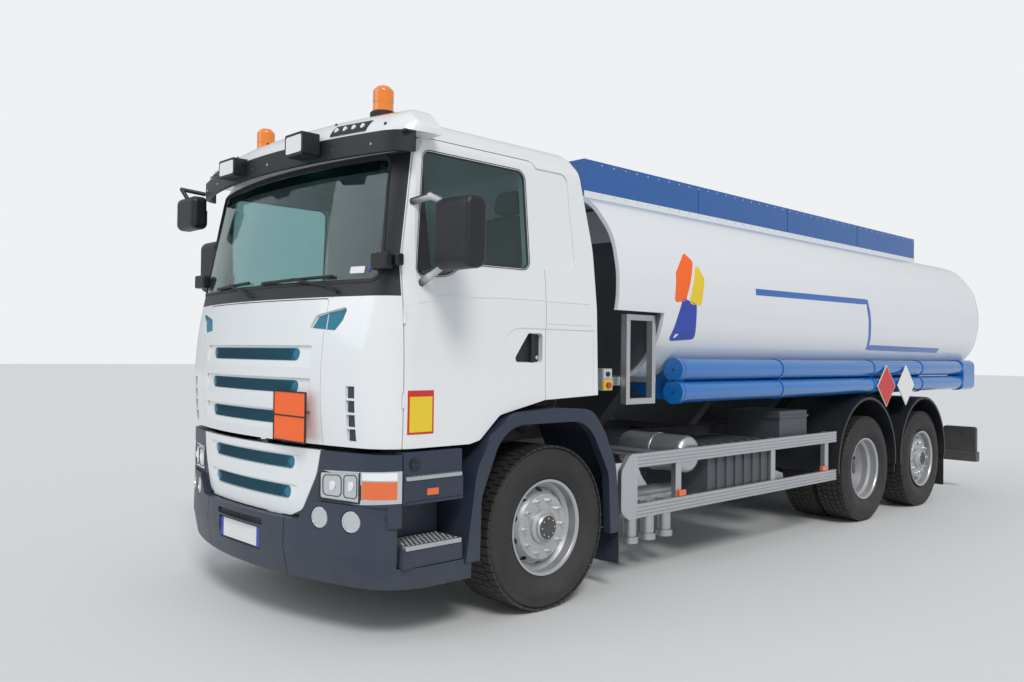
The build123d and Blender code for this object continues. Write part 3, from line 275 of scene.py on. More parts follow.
# name: colour, roughness, then what differs from the usual
opaque = {
    "cab_white": ((0.80, 0.82, 0.84), 0.22, dict(coat=0.8, dust=0.06, everywhere=0.005)),
    "tank_white": ((0.78, 0.80, 0.83), 0.24,
                   dict(coat=0.6, dust=0.04, reach=1.6, everywhere=0.004, spread=0.06)),
    "slate_plastic": ((0.021, 0.032, 0.060), 0.40, dict(dust=0.10, grain_depth=0.0004, everywhere=0.01)),
    "black_plastic": ((0.009, 0.011, 0.016), 0.42, dict(dust=0.10, grain_depth=0.0004, everywhere=0.008)),
    "slate_paint": ((0.030, 0.034, 0.042), 0.40, dict(dust=0.35)),
    "board_blue": ((0.000, 0.095, 0.360), 0.30, dict(coat=0.5, dust=0.05)),
    "tube_blue": ((0.000, 0.160, 0.520), 0.20, dict(coat=0.9, dust=0.10)),
    "petrol_blue": ((0.000, 0.170, 0.270), 0.42, dict(dust=0.03)),
    "petrol_dark": ((0.000, 0.050, 0.085), 0.42, dict(dust=0.03)),
    "indicator": ((0.80, 0.14, 0.02), 0.14, dict(coat=0.9, dust=0.0)),
    "bulkhead_grey": ((0.060, 0.068, 0.082), 0.45, dict(dust=0.15)),
    "aluminium": ((0.60, 0.61, 0.63), 0.34, dict(metal=0.9, dust=0.12, grain_scale=900.0)),
    "wheel_silver": ((0.50, 0.51, 0.53), 0.34, dict(metal=0.55, coat=0.3, dust=0.10)),
    "tyre_rubber": ((0.012, 0.012, 0.014), 0.66, dict(dust=0.10, reach=1.1, grain_depth=0.0005)),
    "amber_lens": ((0.90, 0.24, 0.01), 0.18, dict(coat=0.8)),
    "cast_black": ((0.020, 0.021, 0.023), 0.55, dict(dust=0.45, grain_depth=0.0008)),
    "seat_grey": ((0.16, 0.17, 0.19), 0.85, dict(dust=0.0, grain_scale=1400.0, grain_depth=0.0006)),
    "trim_grey": ((0.09, 0.10, 0.11), 0.6, dict(dust=0.0, grain_depth=0.0004)),
    "soft_black": ((0.010, 0.010, 0.012), 0.6, dict(dust=0.05)),
    "chrome": ((0.75, 0.76, 0.78), 0.12, dict(metal=1.0, dust=0.03)),
    "mirror_glass": ((0.62, 0.66, 0.70), 0.04, dict(metal=1.0, dust=0.0)),
    "plate_orange": ((1.00, 0.13, 0.00), 0.40, dict(dust=0.05)),
    "plate_white": ((0.80, 0.80, 0.80), 0.35, dict(dust=0.06)),
    "band_blue": ((0.010, 0.050, 0.420), 0.35, dict(dust=0.05)),
    "stripe_blue": ((0.000, 0.120, 0.480), 0.24, dict(coat=0.6, dust=0.02)),
    "sign_red": ((0.62, 0.02, 0.02), 0.35, dict(dust=0.03)),
    "sign_yellow": ((0.85, 0.60, 0.02), 0.35, dict(dust=0.03)),
    "lens_red": ((0.45, 0.01, 0.01), 0.15, dict(coat=0.8)),
    "lamp_white": ((0.86, 0.88, 0.90), 0.25, dict(dust=0.0)),
    "pale_grey": ((0.55, 0.57, 0.60), 0.40, dict(dust=0.05)),
}
finishes = {name: finish(name, colour, rough, **more) for name, (colour, rough, more) in opaque.items()}
finishes["cab_glass"] = clear("cab_glass", (0.42, 0.60, 0.60))
finishes["band_glass"] = clear("band_glass", (0.02, 0.16, 0.12))
finishes["lamp_glass"] = finish("lamp_bowl", (0.62, 0.64, 0.67), 0.16, metal=0.75, coat=1.0, dust=0.0,
                                everywhere=0.0)
print("finishes:", len(finishes))

# %% [markdown]
# The carried-over pieces keep their shape and get one of these finishes each. A piece is found by how
# its name starts, so one entry dresses all six wheels.

# %% Finish of each piece of the frame
pieces_in = {
    "aluminium": ("access_frames", "air_reservoirs", "discharge_valves", "manhole_cover", "side_guards"),
    "amber_lens": ("beacons",),
    "black_plastic": ("front_mirror", "mirror_", "rear_mudguards", "roof_lamps", "screen_trim", "sun_visor"),
    "board_blue": ("catwalk",),
    "bulkhead_grey": ("side_boxes", "tank_bulkhead"),
    "cab_glass": ("door_glass", "windscreen"),
    "cab_white": ("cab_nose", "cab_roof", "cab_walls", "door_left", "door_right", "grille_flap",
                  "lower_panel"),
    "cast_black": ("engine_block", "front_axle", "knuckle_", "rear_axles", "suspension", "tie_rod"),
    "lamp_glass": ("front_lamps",),
    "seat_grey": ("seats",),
    "slate_paint": ("chassis_frame", "rear_bumper"),
    "slate_plastic": ("front_bumper", "front_corners", "front_mudguards", "step_wells"),
    "tank_white": ("tank_shell",),
    "trim_grey": ("cab_floor", "dashboard"),
    "tube_blue": ("hose_tubes",),
    "tyre_rubber": ("tyre_",),
    "wheel_silver": ("wheel_",),
}
dressed = 0
for look, starts in pieces_in.items():
    for name, piece in nodes.items():
        if name.startswith(starts):
            piece.data.materials.clear()
            piece.data.materials.append(finishes[look])
            dressed += 1
print("dressed:", dressed, "of", len(nodes), "pieces")

# %% [markdown]
# Thin trim has to lie on curved panels. A ray thrown at the panel finds the skin under each point of
# a flat drawing, so a seal, a stripe or a plate can be drawn flat and laid on. This keeps trim tight
# to the body without measuring the curve by hand.

# %% Rays onto the skin
ray_start = {"front": 8.0, "rear": -8.0, "left": 3.0, "right": -3.0}
sides = (("left", 1), ("right", -1))


def skin_of(*names):
    """Search tree over the faces of some pieces of the frame."""
    places = []
    faces = []
    for name in names:
        first = len(places)
        mesh = nodes[name].data
        places += [v.co.copy() for v in mesh.vertices]
        faces += [[first + k for k in p.vertices] for p in mesh.polygons]
    return BVHTree.FromPolygons(places, faces)


def ray_of(view, a, b):
    """Start and direction of a ray through a point of a flat drawing seen from one side."""
    far = ray_start[view]
    inward = -math.copysign(1, far)
    if view in ("front", "rear"):
        return Vector((far, a, b)), Vector((inward, 0, 0))
    return Vector((a, far, b)), Vector((0, inward, 0))


def touch(skin, view, a, b):
    """Point on the skin under a drawing's point, and the skin's outward direction there."""
    start, along = ray_of(view, a, b)
    place, normal, _, _ = skin.ray_cast(start, along)
    if place is None:
        place, normal, _, _ = skin.find_nearest(start + along * (start.length / 2))
    if normal.dot(along) > 0:
        normal = -normal
    return place, normal


def raised(skin, view, a, b, lift):
    """Point that stands a little off the skin."""
    place, normal = touch(skin, view, a, b)
    return place + normal * lift


print("rays:", ", ".join(ray_start))

# %% [markdown]
# Every added piece ends the same way: a closed mesh with its faces turned outwards, one finish, and a
# body that carries it when doors, flaps and wheels move.

# %% Finishing a piece


def dress(name, verts, faces, look, body, smooth=False):
    """A mesh piece with a finish that rides on a body."""
    mesh = bpy.data.meshes.new(name)
    mesh.from_pydata([tuple(v) for v in verts], [], faces)
    work = bmesh.new()
    work.from_mesh(mesh)
    bmesh.ops.recalc_face_normals(work, faces=work.faces[:])
    for face in work.faces:
        face.smooth = smooth
    work.to_mesh(mesh)
    work.free()
    mesh.materials.append(finishes[look])
    piece = bpy.data.objects.new(name, mesh)
    bpy.context.collection.objects.link(piece)
    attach(piece, body)
    return piece


def merged(parts):
    """Vertices and faces of several small meshes, put together as one."""
    verts = []
    faces = []
    for more, cells in parts:
        faces += [[k + len(verts) for k in cell] for cell in cells]
        verts += more
    return verts, faces


def rounded(corners, steps=5):
    """Closed outline in which a corner with a third value becomes an arc of that radius."""
    points = []
    count = len(corners)
    for k, corner in enumerate(corners):
        here = Vector(corner[:2])
        if len(corner) < 3:
            points.append(tuple(here))
            continue
        before = (Vector(corners[k - 1][:2]) - here).normalized()
        after = (Vector(corners[(k + 1) % count][:2]) - here).normalized()
        half = before.angle(after) / 2
        reach = corner[2] / math.tan(half)
        middle = here + (before + after).normalized() * (corner[2] / math.sin(half))
        first = here + before * reach - middle
        last = here + after * reach - middle
        sweep = first.angle_signed(last)
        for j in range(steps + 1):
            turned = first.copy()
            turned.rotate(Matrix.Rotation(-sweep * j / steps, 2))
            points.append(tuple(middle + turned))
    return points


def rectangle(a0, a1, b0, b1, radius=0.0):
    """Outline of a rectangle, with rounded corners where a radius is given."""
    corners = [(a0, b0), (a1, b0), (a1, b1), (a0, b1)]
    return rounded([(*c, radius) for c in corners]) if radius else corners


print("corner sample:", len(rectangle(0, 1, 0, 1, 0.1)), "points")

# %% [markdown]
# A plate, lens or painted field is a flat outline cut into small cells, laid on the skin and given a
# thickness. A seal, stripe or seam is a ribbon: its path is laid on the skin and its width is
# measured at right angles to the path.

# %% Plates and ribbons


def plate_mesh(skin, view, outline, lift, wall, cell):
    """Vertices and faces of an outline laid on the skin as a thin closed plate."""
    work = bmesh.new()
    work.faces.new([work.verts.new((a, b, 0)) for a, b in outline])
    for axis in (0, 1):
        low = min(p[axis] for p in outline)
        high = max(p[axis] for p in outline)
        cuts = int((high - low) / cell)
        for k in range(1, cuts + 1):
            place = [0.0, 0.0, 0.0]
            place[axis] = low + (high - low) * k / (cuts + 1)
            direction = [0.0, 0.0, 0.0]
            direction[axis] = 1.0
            bmesh.ops.bisect_plane(work, geom=work.verts[:] + work.edges[:] + work.faces[:],
                                   plane_co=place, plane_no=direction)
    work.verts.index_update()
    outer = []
    inner = []
    for vert in work.verts:
        place, normal = touch(skin, view, vert.co.x, vert.co.y)
        outer.append(place + normal * lift)
        inner.append(place + normal * (lift - wall))
    count = len(outer)
    faces = [[v.index for v in face.verts] for face in work.faces]
    faces += [[v.index + count for v in reversed(face.verts)] for face in work.faces]
    for edge in work.edges:
        if len(edge.link_faces) == 1:
            a, b = (v.index for v in edge.verts)
            faces.append([a, b, b + count, a + count])
    work.free()
    return outer + inner, faces


def plate(name, skin, view, outlines, look, body, lift=0.003, wall=0.006, cell=0.06):
    """One piece from several outlines, all laid on the same skin."""
    parts = [plate_mesh(skin, view, outline, lift, wall, cell) for outline in outlines]
    return dress(name, *merged(parts), look, body)


def sampled(path, closed, step):
    """The path with points added so that no stretch is longer than a step."""
    points = []
    last = len(path) if closed else len(path) - 1
    for k in range(last):
        a, b = Vector(path[k]), Vector(path[(k + 1) % len(path)])
        cuts = max(1, round((b - a).length / step))
        points += [a.lerp(b, j / cuts) for j in range(cuts)]
    return points if closed else points + [Vector(path[-1])]


def ribbon(name, skin, view, paths, width, look, body, lift=0.003, wall=0.006, closed=True, step=0.07):
    """A flat band that follows each path on the skin, all in one piece."""
    verts = []
    faces = []
    for path in paths:
        points = sampled(path, closed, step)
        count = len(points)
        first = len(verts)
        for k, point in enumerate(points):
            before = points[k - 1] if closed or k > 0 else point
            after = points[(k + 1) % count] if closed or k < count - 1 else point
            along = (after - before).normalized()
            across = Vector((-along.y, along.x)) * (width / 2)
            rims = [touch(skin, view, *(point + across)), touch(skin, view, *(point - across))]
            verts += [place + normal * lift for place, normal in rims]
            verts += [place + normal * (lift - wall) for place, normal in reversed(rims)]
        for k in range(count if closed else count - 1):
            a, b = first + 4 * k, first + 4 * ((k + 1) % count)
            faces += [[a + j, a + (j + 1) % 4, b + (j + 1) % 4, b + j] for j in range(4)]
        if not closed:
            end = first + 4 * (count - 1)
            faces += [[first, first + 1, first + 2, first + 3], [end, end + 1, end + 2, end + 3]]
    return dress(name, verts, faces, look, body)


def blocks(name, boxes, look, body, bevel=0.0):
    """Straight-sided pieces given as (low x, high x, low y, high y, low z, high z)."""
    verts = []
    faces = []
    for x0, x1, y0, y1, z0, z1 in boxes:
        first = len(verts)
        verts += [(x, y, z) for x in (x0, x1) for y in (y0, y1) for z in (z0, z1)]
        for quad in ((0, 1, 3, 2), (4, 6, 7, 5), (0, 4, 5, 1), (2, 3, 7, 6), (0, 2, 6, 4), (1, 5, 7, 3)):
            faces.append([first + k for k in quad])
    piece = dress(name, verts, faces, look, body)
    if bevel:
        edge = piece.modifiers.new("edge", "BEVEL")
        edge.width = bevel
        edge.segments = 2
    return piece


def span(sign, a, b):
    """Low and high Y of a piece on the left (sign 1) or right (sign -1) side."""
    return sorted((sign * a, sign * b))


def side_box(sign, x0, x1, y0, y1, z0, z1):
    """Box of a block on one side, with X given ahead of the front axle."""
    return (station(x0), station(x1), *span(sign, y0, y1), z0, z1)


# how far trim stands off its panel, and how thick it is
sheet = (0.002, 0.004)
paint_coat = (0.0015, 0.003)
decal = (0.0015, 0.0012)
pressed_line = (0.0030, 0.007)
lens = (0.003, 0.004)
print("makers:", plate.__name__, ribbon.__name__, blocks.__name__)

# %% [markdown]
# Wires, cables, bars and arms are lines with a round section. Geometry Nodes turn a mesh of bare edges
# into curves and sweep a circle along them, so one tree serves the grille mesh, the wipers, the door
# handles and the lines behind the cab. The radius and the number of sides are inputs.

# %% A tree that sweeps a circle along edges


def new_tree(name, **inputs):
    """A geometry tree that takes and gives a mesh, with named inputs and a finish."""
    named = {label.replace("_", " "): (kind,) for label, kind in inputs.items()}
    sockets = {"Geometry": ("Geometry",), **named, "Finish": ("Material",)}
    return new_group(name, "GeometryNodeTree", sockets, {"Geometry": ("Geometry",)})


def close_tree(tree, given, end, shape, smooth):
    """Ends a tree with shading, realized instances and the material."""
    shade = add(tree, "GeometryNodeSetShadeSmooth", {"Geometry": shape, "Shade Smooth": smooth})
    real = add(tree, "GeometryNodeRealizeInstances", {0: shade.outputs[0]})
    paint = add(tree, "GeometryNodeSetMaterial", {"Geometry": real.outputs[0], "Material": given["Finish"]})
    fill(end, {0: paint.outputs[0]})


def make_sweep_tree():
    """Curves along the given edges, with a filled circle as their section."""
    tree, given, end = new_tree("sweep", Radius="Float", Sides="Int")
    curve = add(tree, "GeometryNodeMeshToCurve", {"Mesh": given["Geometry"]})
    circle = add(tree, "GeometryNodeCurvePrimitiveCircle",
                 {"Radius": given["Radius"], "Resolution": given["Sides"]})
    sweep = add(tree, "GeometryNodeCurveToMesh", {"Curve": curve.outputs["Curve"], "Fill Caps": True,
                                                  "Profile Curve": circle.outputs["Curve"]})
    close_tree(tree, given, end, sweep.outputs["Mesh"], True)
    return tree


def grown_piece(name, start_mesh, tree, values, look, body):
    """Runs a geometry tree on a mesh and keeps the result as a plain mesh on a body."""
    seed = bpy.data.objects.new(name, start_mesh)
    bpy.context.collection.objects.link(seed)
    modifier = seed.modifiers.new("grow", "NODES")
    modifier.node_group = tree
    values = {**values, "Finish": finishes[look]}
    for item in tree.interface.items_tree:
        if item.in_out == "INPUT" and item.name in values:
            modifier[item.identifier] = values[item.name]
    bpy.context.view_layer.update()
    ready = seed.evaluated_get(bpy.context.evaluated_depsgraph_get())
    result = bpy.data.meshes.new_from_object(ready)
    seed.modifiers.remove(modifier)
    seed.data = result
    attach(seed, body)
    return seed


def swept(name, lines, radius, look, body, sides=8):
    """Lines with a round section, as one piece."""
    verts = []
    edges = []
    for line in lines:
        first = len(verts)
        verts += [tuple(p) for p in line]
        edges += [(first + k, first + k + 1) for k in range(len(line) - 1)]
    mesh = bpy.data.meshes.new(name)
    mesh.from_pydata(verts, edges, [])
    return grown_piece(name, mesh, sweep_tree, {"Radius": radius, "Sides": sides}, look, body)


sweep_tree = make_sweep_tree()
print("tree:", sweep_tree.name)

# %% [markdown]
# Nuts, screws, rivets and tread bumps are one small solid that stands again and again on a surface.
# The tree puts a low-sided cylinder on every point it is given and turns it to a shared direction.

# %% A tree that stands studs on points


def make_stud_tree():
    """A cylinder on every given point, turned to one direction."""
    tree, given, end = new_tree("studs", Radius="Float", Height="Float", Sides="Int", Direction="Vector")
    stud = add(tree, "GeometryNodeMeshCylinder",
               {"Vertices": given["Sides"], "Radius": given["Radius"], "Depth": given["Height"]})
    aim = add(tree, "FunctionNodeAlignEulerToVector", {"Vector": given["Direction"]}, axis="Z")
    place = add(tree, "GeometryNodeInstanceOnPoints",
                {"Points": given["Geometry"], "Instance": stud.outputs["Mesh"],
                 "Rotation": aim.outputs["Rotation"]})
    close_tree(tree, given, end, place.outputs["Instances"], False)
    return tree


def studs(name, points, direction, radius, height, look, body, sides=6):
    """A small cylinder on every point, as one piece."""
    mesh = bpy.data.meshes.new(name)
    mesh.from_pydata([tuple(p) for p in points], [], [])
    values = {"Radius": radius, "Height": height, "Sides": sides, "Direction": direction}
    return grown_piece(name, mesh, stud_tree, values, look, body)


stud_tree = make_stud_tree()
print("tree:", stud_tree.name)

# %% [markdown]
# Some pieces carry two finishes, such as a lamp with a black foot and an amber dome. Each face takes
# its finish from where it lies, and the mesh itself stays as it is.

# %% Two finishes on one piece
foot_share = 0.30


def repaint(node, look, inside):
    """Faces of a frame piece whose middle passes a test get another finish; gives their number."""
    mesh = nodes[node].data
    mesh.materials.append(finishes[look])
    chosen = [face for face in mesh.polygons if inside(face.center)]
    for face in chosen:
        face.material_index = len(mesh.materials) - 1
    return len(chosen)


beacon_low, beacon_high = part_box("beacons")
beacon_foot = beacon_low.z + (beacon_high.z - beacon_low.z) * foot_share
print("beacon feet:", repaint("beacons", "soft_black", lambda c: c.z < beacon_foot), "faces")

# %% [markdown]
# The slots in the flap and in the panel under it are blind: behind the opening lies a coloured sheet
# under a diamond mesh. The sheet is laid on the slot's floor, and the mesh is made of crossing wires
# that the sweep tree thickens.

# %% Grille inserts
slot_half_height = 0.036
mesh_half_height = 0.033
mesh_lift = 0.005
wire_radius = 0.0022
wire_pitch = 0.021
flap_skin = skin_of("grille_flap")
nose_skin = skin_of("cab_nose")
panel_skin = skin_of("lower_panel")
flap_slots = [(z, 0.545) for z in (1.575, 1.389, 1.204)]
panel_slots = [(0.776, 0.475), (0.950, 0.505)]


def slot_outline(z, half):
    """Outline of one slot with round ends."""
    return rectangle(-half, half, z - slot_half_height, z + slot_half_height, slot_half_height - 0.001)


def crossing_wires(skin, z, half):
    """Diagonal lines in both directions over one slot of the front view."""
    lines = []
    reach = half - slot_half_height
    b0, b1 = z - mesh_half_height, z + mesh_half_height
    height = b1 - b0
    for k in range(int((2 * reach - height) / wire_pitch) + 1):
        a = k * wire_pitch - reach
        for ends in (((a, b0), (a + height, b1)), ((a + height, b0), (a, b1))):
            lines.append([raised(skin, "front", *p, mesh_lift) for p in ends])
    return lines


for label, skin, slots, body in (("flap", flap_skin, flap_slots, "grille_flap"),
                                 ("panel", panel_skin, panel_slots, "chassis")):
    plate(f"slot_sheets_{label}", skin, "front", [slot_outline(*slot) for slot in slots], "petrol_blue", body,
          *sheet)
    wires = [line for slot in slots for line in crossing_wires(skin, *slot)]
    insert = swept(f"slot_mesh_{label}", wires, wire_radius, "petrol_dark", body, sides=4)
    print(insert.name, len(insert.data.polygons), "faces")

# %% [markdown]
# Beside the slots sit pointed vents. They run over the flap's edge, so each has one part on the flap
# and one on the cab, and they part when the flap is lifted. The upright vents at the corners are
# four short cells under each other.

# %% Leaf vents and corner vents


def pair(*outlines):
    """Outlines of the front view, each followed by its mirror image."""
    return [side for outline in outlines for side in (outline, [(-a, b) for a, b in outline])]


leaf_on_flap = [(0.634, 1.726), (0.741, 1.717), (0.741, 1.806), (0.676, 1.790)]
leaf_on_cab = [(0.752, 1.716), (0.820, 1.711), (0.870, 1.765), (0.897, 1.833), (0.752, 1.809)]
cell_foot, cell_height, cell_pitch = 1.106, 0.062, 0.078
cell_feet = [cell_foot + cell_pitch * k for k in range(4)]
corner_cells = [rectangle(0.944, 0.998, z, z + cell_height, 0.006) for z in cell_feet]
plate("leaf_flap", flap_skin, "front", pair(leaf_on_flap), "petrol_blue", "grille_flap", *sheet)
plate("leaf_cab", nose_skin, "front", pair(leaf_on_cab), "petrol_blue", "cab", *sheet)
plate("corner_vents", nose_skin, "front", pair(*corner_cells), "slate_plastic", "cab", *sheet)
print("vents:", len(pair(leaf_on_flap)), "leaves and", len(pair(*corner_cells)), "corner cells")

# %% [markdown]
# The windscreen is bonded in. A black rubber ribbon hides the joint, and a darker green band at the
# top keeps the sun out. Two wipers park along its foot: their arms and blades are lines laid a little
# off the glass, because a swept line follows the bow of the screen by itself.

# %% Windscreen
screen_corners = [(-1.085, 1.985, 0.06), (1.085, 1.985, 0.06), (1.012, 2.690, 0.06), (-1.012, 2.690, 0.06)]
sun_band = [(-1.012, 2.615), (1.012, 2.615), (1.005, 2.675), (-1.005, 2.675)]
screen_skin = skin_of("windscreen", "screen_trim", "cab_nose")
glass_skin = skin_of("windscreen")
ribbon("screen_rubber", screen_skin, "front", [rounded(screen_corners)], 0.022, "soft_black", "cab",
       0.004, 0.009)
plate("sun_band", glass_skin, "front", [sun_band], "band_glass", "cab", 0.0012, 0.0010, cell=0.08)
for name, place, look in (("screen_label", (0.86, 0.965, 2.030, 2.068, 0.004), "plate_white"),
                          ("screen_dot", (0.982, 1.004, 2.034, 2.056, 0.010), "band_blue")):
    plate(name, glass_skin, "front", [rectangle(*place)], look, "cab", *decal)

blade_steps = 8
blade_foot, blade_rise = 2.004, 0.012
wiper_arms = []
wiper_blades = []
for pivot_y, low_y, high_y in ((0.80, 0.06, 0.74), (-0.06, -0.66, -0.12)):
    arm = [(pivot_y, 1.925, 0.006), (pivot_y, 1.930, 0.030), (pivot_y - 0.06, 1.955, 0.032),
           ((low_y + high_y) / 2, 2.012, 0.024)]
    blade = [(low_y + (high_y - low_y) * k / blade_steps, blade_foot + blade_rise * k / blade_steps, 0.013)
             for k in range(blade_steps + 1)]
    wiper_arms.append([raised(screen_skin, "front", *p) for p in arm])
    wiper_blades.append([raised(screen_skin, "front", *p) for p in blade])
swept("wiper_arms", wiper_arms, 0.008, "soft_black", "cab", sides=8)
swept("wiper_blades", wiper_blades, 0.010, "soft_black", "cab", sides=6)
print("wipers:", len(wiper_arms))

# %% [markdown]
# A warning board that slides into a holder hangs on the flap. It is bare here: an orange sheet with a
# bar across its middle in a black frame. It stays flat while the flap is bowed, so it stands off the
# flap's furthest point. The number plate on the bumper is blank too, with a blue band at each end.

# %% Boards on the front
board = (0.345, 0.690, 1.082, 1.356)
board_split = 1.222
edge = 0.008
y0, y1, z0, z1 = board
board_back = max(touch(flap_skin, "front", y, z)[0].x
                 for y in (y0, y1) for z in (1.09, 1.30, 1.35)) + 0.003
blocks("orange_board", [(board_back, board_back + 0.004, *board)], "plate_orange", "grille_flap")
rim = [(y0 - edge, y1 + edge, z0 - edge, z0), (y0 - edge, y1 + edge, z1, z1 + edge),
       (y0 - edge, y0, z0, z1), (y1, y1 + edge, z0, z1),
       (y0, y1, board_split - edge / 2, board_split + edge / 2)]
blocks("board_holder", [(board_back - 0.002, board_back + 0.007, *bar) for bar in rim], "soft_black",
       "grille_flap")

bumper_skin = skin_of("front_bumper")
number_half, number_z = 0.255, (0.432, 0.545)
blank = rectangle(-number_half, number_half, *number_z, 0.006)
bands = [rectangle(*ends, *number_z, 0.005) for ends in ((-number_half, -0.215), (0.215, number_half))]
grips = [rectangle(*ends, 0.572, 0.602, 0.006) for ends in ((-0.278, -0.014), (0.014, 0.278))]
plate("number_plate", bumper_skin, "front", [blank], "plate_white", "chassis", 0.006, 0.006)
plate("number_bands", bumper_skin, "front", bands, "band_blue", "chassis", 0.0068, 0.003)
# The black sheets over the number plate stand for the grip slots: their black is painted shade inside the
# openings.
plate("grip_slot_shade", bumper_skin, "front", grips, "soft_black", "chassis", *sheet)
tow_eye, outward = touch(bumper_skin, "front", 1.160, 0.700)
studs("tow_eye_cover", [tow_eye], outward, 0.016, 0.010, "soft_black", "chassis", sides=20)
print("board at X", round(board_back, 3))

# %% [markdown]
# Behind a clear lens a head lamp is a bright bowl. The carried-over lamp block gets a pale metallic
# finish that stands for the bowl, with a dark inner edge and a black frame. The outer end is the
# indicator: clear above and orange below.

# %% Lamps of the front
lamp_skin = skin_of("front_lamps")
fog_radius = 0.052
fog_steps = 28
lamp_frame = rounded([(0.734, 0.772, 0.02), (1.028, 0.772), (1.028, 0.938), (0.734, 0.924, 0.02)])
bowl = rounded([(0.760, 0.795, 0.03), (0.900, 0.795, 0.03), (0.900, 0.915, 0.03), (0.760, 0.905, 0.03)])
bowl_inner = rounded([(0.918, 0.795, 0.02), (1.010, 0.795, 0.02), (1.010, 0.922, 0.02),
                      (0.918, 0.915, 0.02)])
fog_turns = [t * math.tau / fog_steps for t in range(fog_steps)]
fog_lamps = [[(y + fog_radius * math.cos(t), z + fog_radius * math.sin(t)) for t in fog_turns]
             for y, z in ((0.768, 0.672), (0.982, 0.668))]
indicator_bar = [(1.036, 0.790), (1.036, 0.948)]
indicator_field = [(1.046, 0.796), (1.206, 0.802), (1.206, 0.898), (1.046, 0.893)]
clear_field = [(1.046, 0.900), (1.206, 0.905), (1.206, 0.946), (1.046, 0.938)]
ribbon("lamp_frames", lamp_skin, "front", pair(lamp_frame), 0.012, "soft_black", "chassis")
ribbon("lamp_bowls", lamp_skin, "front", pair(bowl, bowl_inner), 0.006, "trim_grey", "chassis", 0.0022, 0.003)
ribbon("fog_rings", lamp_skin, "front", pair(*fog_lamps), 0.007, "chrome", "chassis", 0.0025, 0.004,
       step=0.02)
ribbon("indicator_bar", lamp_skin, "front", pair(indicator_bar), 0.008, "soft_black", "chassis",
       closed=False)
plate("indicators", lamp_skin, "front", pair(indicator_field), "indicator", "chassis", *sheet, 0.02)
plate("indicator_tops", lamp_skin, "front", pair(clear_field), "lamp_white", "chassis", *sheet, 0.02)
bulbs = [touch(lamp_skin, "front", sign * y, z)[0]
         for sign in (-1, 1) for y, z in ((0.830, 0.852), (0.964, 0.858))]
studs("lamp_bulbs", bulbs, (1, 0, 0), 0.026, 0.008, "lamp_white", "chassis", sides=24)
print("lamp bulbs:", len(bulbs))

# %% [markdown]
# On the roof stand two work lamps and, at each side, a slanted strip with four small lights. Round
# black screws hold the cap. They are all studs that lean with the surface under them.

# %% Roof lamps
roof_skin = skin_of("roof_lamps")
cap_skin = skin_of("cab_roof", "sun_visor")
panes = [rectangle(-0.400, -0.215, 2.720, 2.805, 0.012), rectangle(0.456, 0.624, 2.726, 2.824, 0.012)]
plate("work_lamp_glass", roof_skin, "front", panes, "lamp_white", "cab", *sheet)
spots = [(0.725 + 0.066 * k, 2.853) for k in range(4)]
cap_screws = [(0.15, 2.925), (0.62, 2.915), (1.08, 2.845)]
visor_screws = [(y, 2.735) for y in (0.10, 0.72, 1.02)]
for name, skin, places, direction, radius, height, look, edges in (
        ("strip_lights", roof_skin, spots, (1, 0, 0.4), 0.015, 0.010, "lamp_white", 16),
        ("cap_screws", cap_skin, cap_screws, (1, 0, 0.25), 0.010, 0.008, "soft_black", 12),
        ("visor_screws", cap_skin, visor_screws, (1, 0, 0), 0.008, 0.006, "chrome", 12)):
    points = [touch(skin, "front", sign * y, z)[0] for sign in (-1, 1) for y, z in places]
    studs(name, points, direction, radius, height, look, "cab", sides=edges)
    print(name + ":", len(points))

# %% [markdown]
# The cab's sides are alike, so one loop dresses both. A rubber lines each window, a black wedge stands
# at the window's front end, and the handle's pocket is lined in black with a bar to pull on. Each rides
# on its own door, so that it swings with it.

# %% Doors and windows
window = [(1.032, 2.015, 0.04), (0.954, 2.725, 0.05), (0.166, 2.725, 0.06), (0.156, 2.115, 0.05),
          (0.684, 2.110, 0.20), (0.804, 2.030, 0.20)]
wedge = [(1.018, 2.040), (0.925, 2.060), (0.965, 2.630)]
pocket = [(0.046, 1.544, 0.02), (0.292, 1.544, 0.02), (0.163, 1.718, 0.02), (0.046, 1.718, 0.02)]
handle_x, handle_y, handle_ends = 0.126, 1.196, (1.541, 1.719)
lock_place = (0.072, 1.178, 1.572)


def along_side(outline):
    """A side drawing in metres from the front axle, moved to the frame's X."""
    return [(station(p[0]), *p[1:]) for p in outline]


door_skins = {}
for side, sign in sides:
    body = f"door_{side}"
    door_skins[side] = skin_of(body, f"door_glass_{side}")
    glass = skin_of(f"door_glass_{side}")
    ribbon(f"window_rubber_{side}", door_skins[side], side, [rounded(along_side(window))], 0.016,
           "soft_black", body, 0.0025, 0.008)
    plate(f"window_wedge_{side}", glass, side, [along_side(wedge)], "soft_black", body, 0.002, 0.003, 0.2)
    plate(f"handle_pocket_{side}", door_skins[side], side, [rounded(along_side(pocket))], "soft_black", body,
          *sheet, 0.2)
    bar = [(station(handle_x), sign * handle_y, z) for z in handle_ends]
    swept(f"handle_loop_{side}", [bar], 0.0140, "black_plastic", body, sides=16)
    lock = (station(lock_place[0]), sign * lock_place[1], lock_place[2])
    studs(f"door_lock_{side}", [lock], (0, sign, 0), 0.012, 0.014, "chrome", body, sides=18)
print("window corners:", len(rounded(along_side(window))), "points")

# %% [markdown]
# Long pressed lines run along the doors and on behind them. They are low ridges in body colour, one
# part on each panel, so that the line breaks at the door seams as the real one does. Low on the
# left door sits a sticker: a yellow field over a slightly larger red sheet, which leaves a red rim.

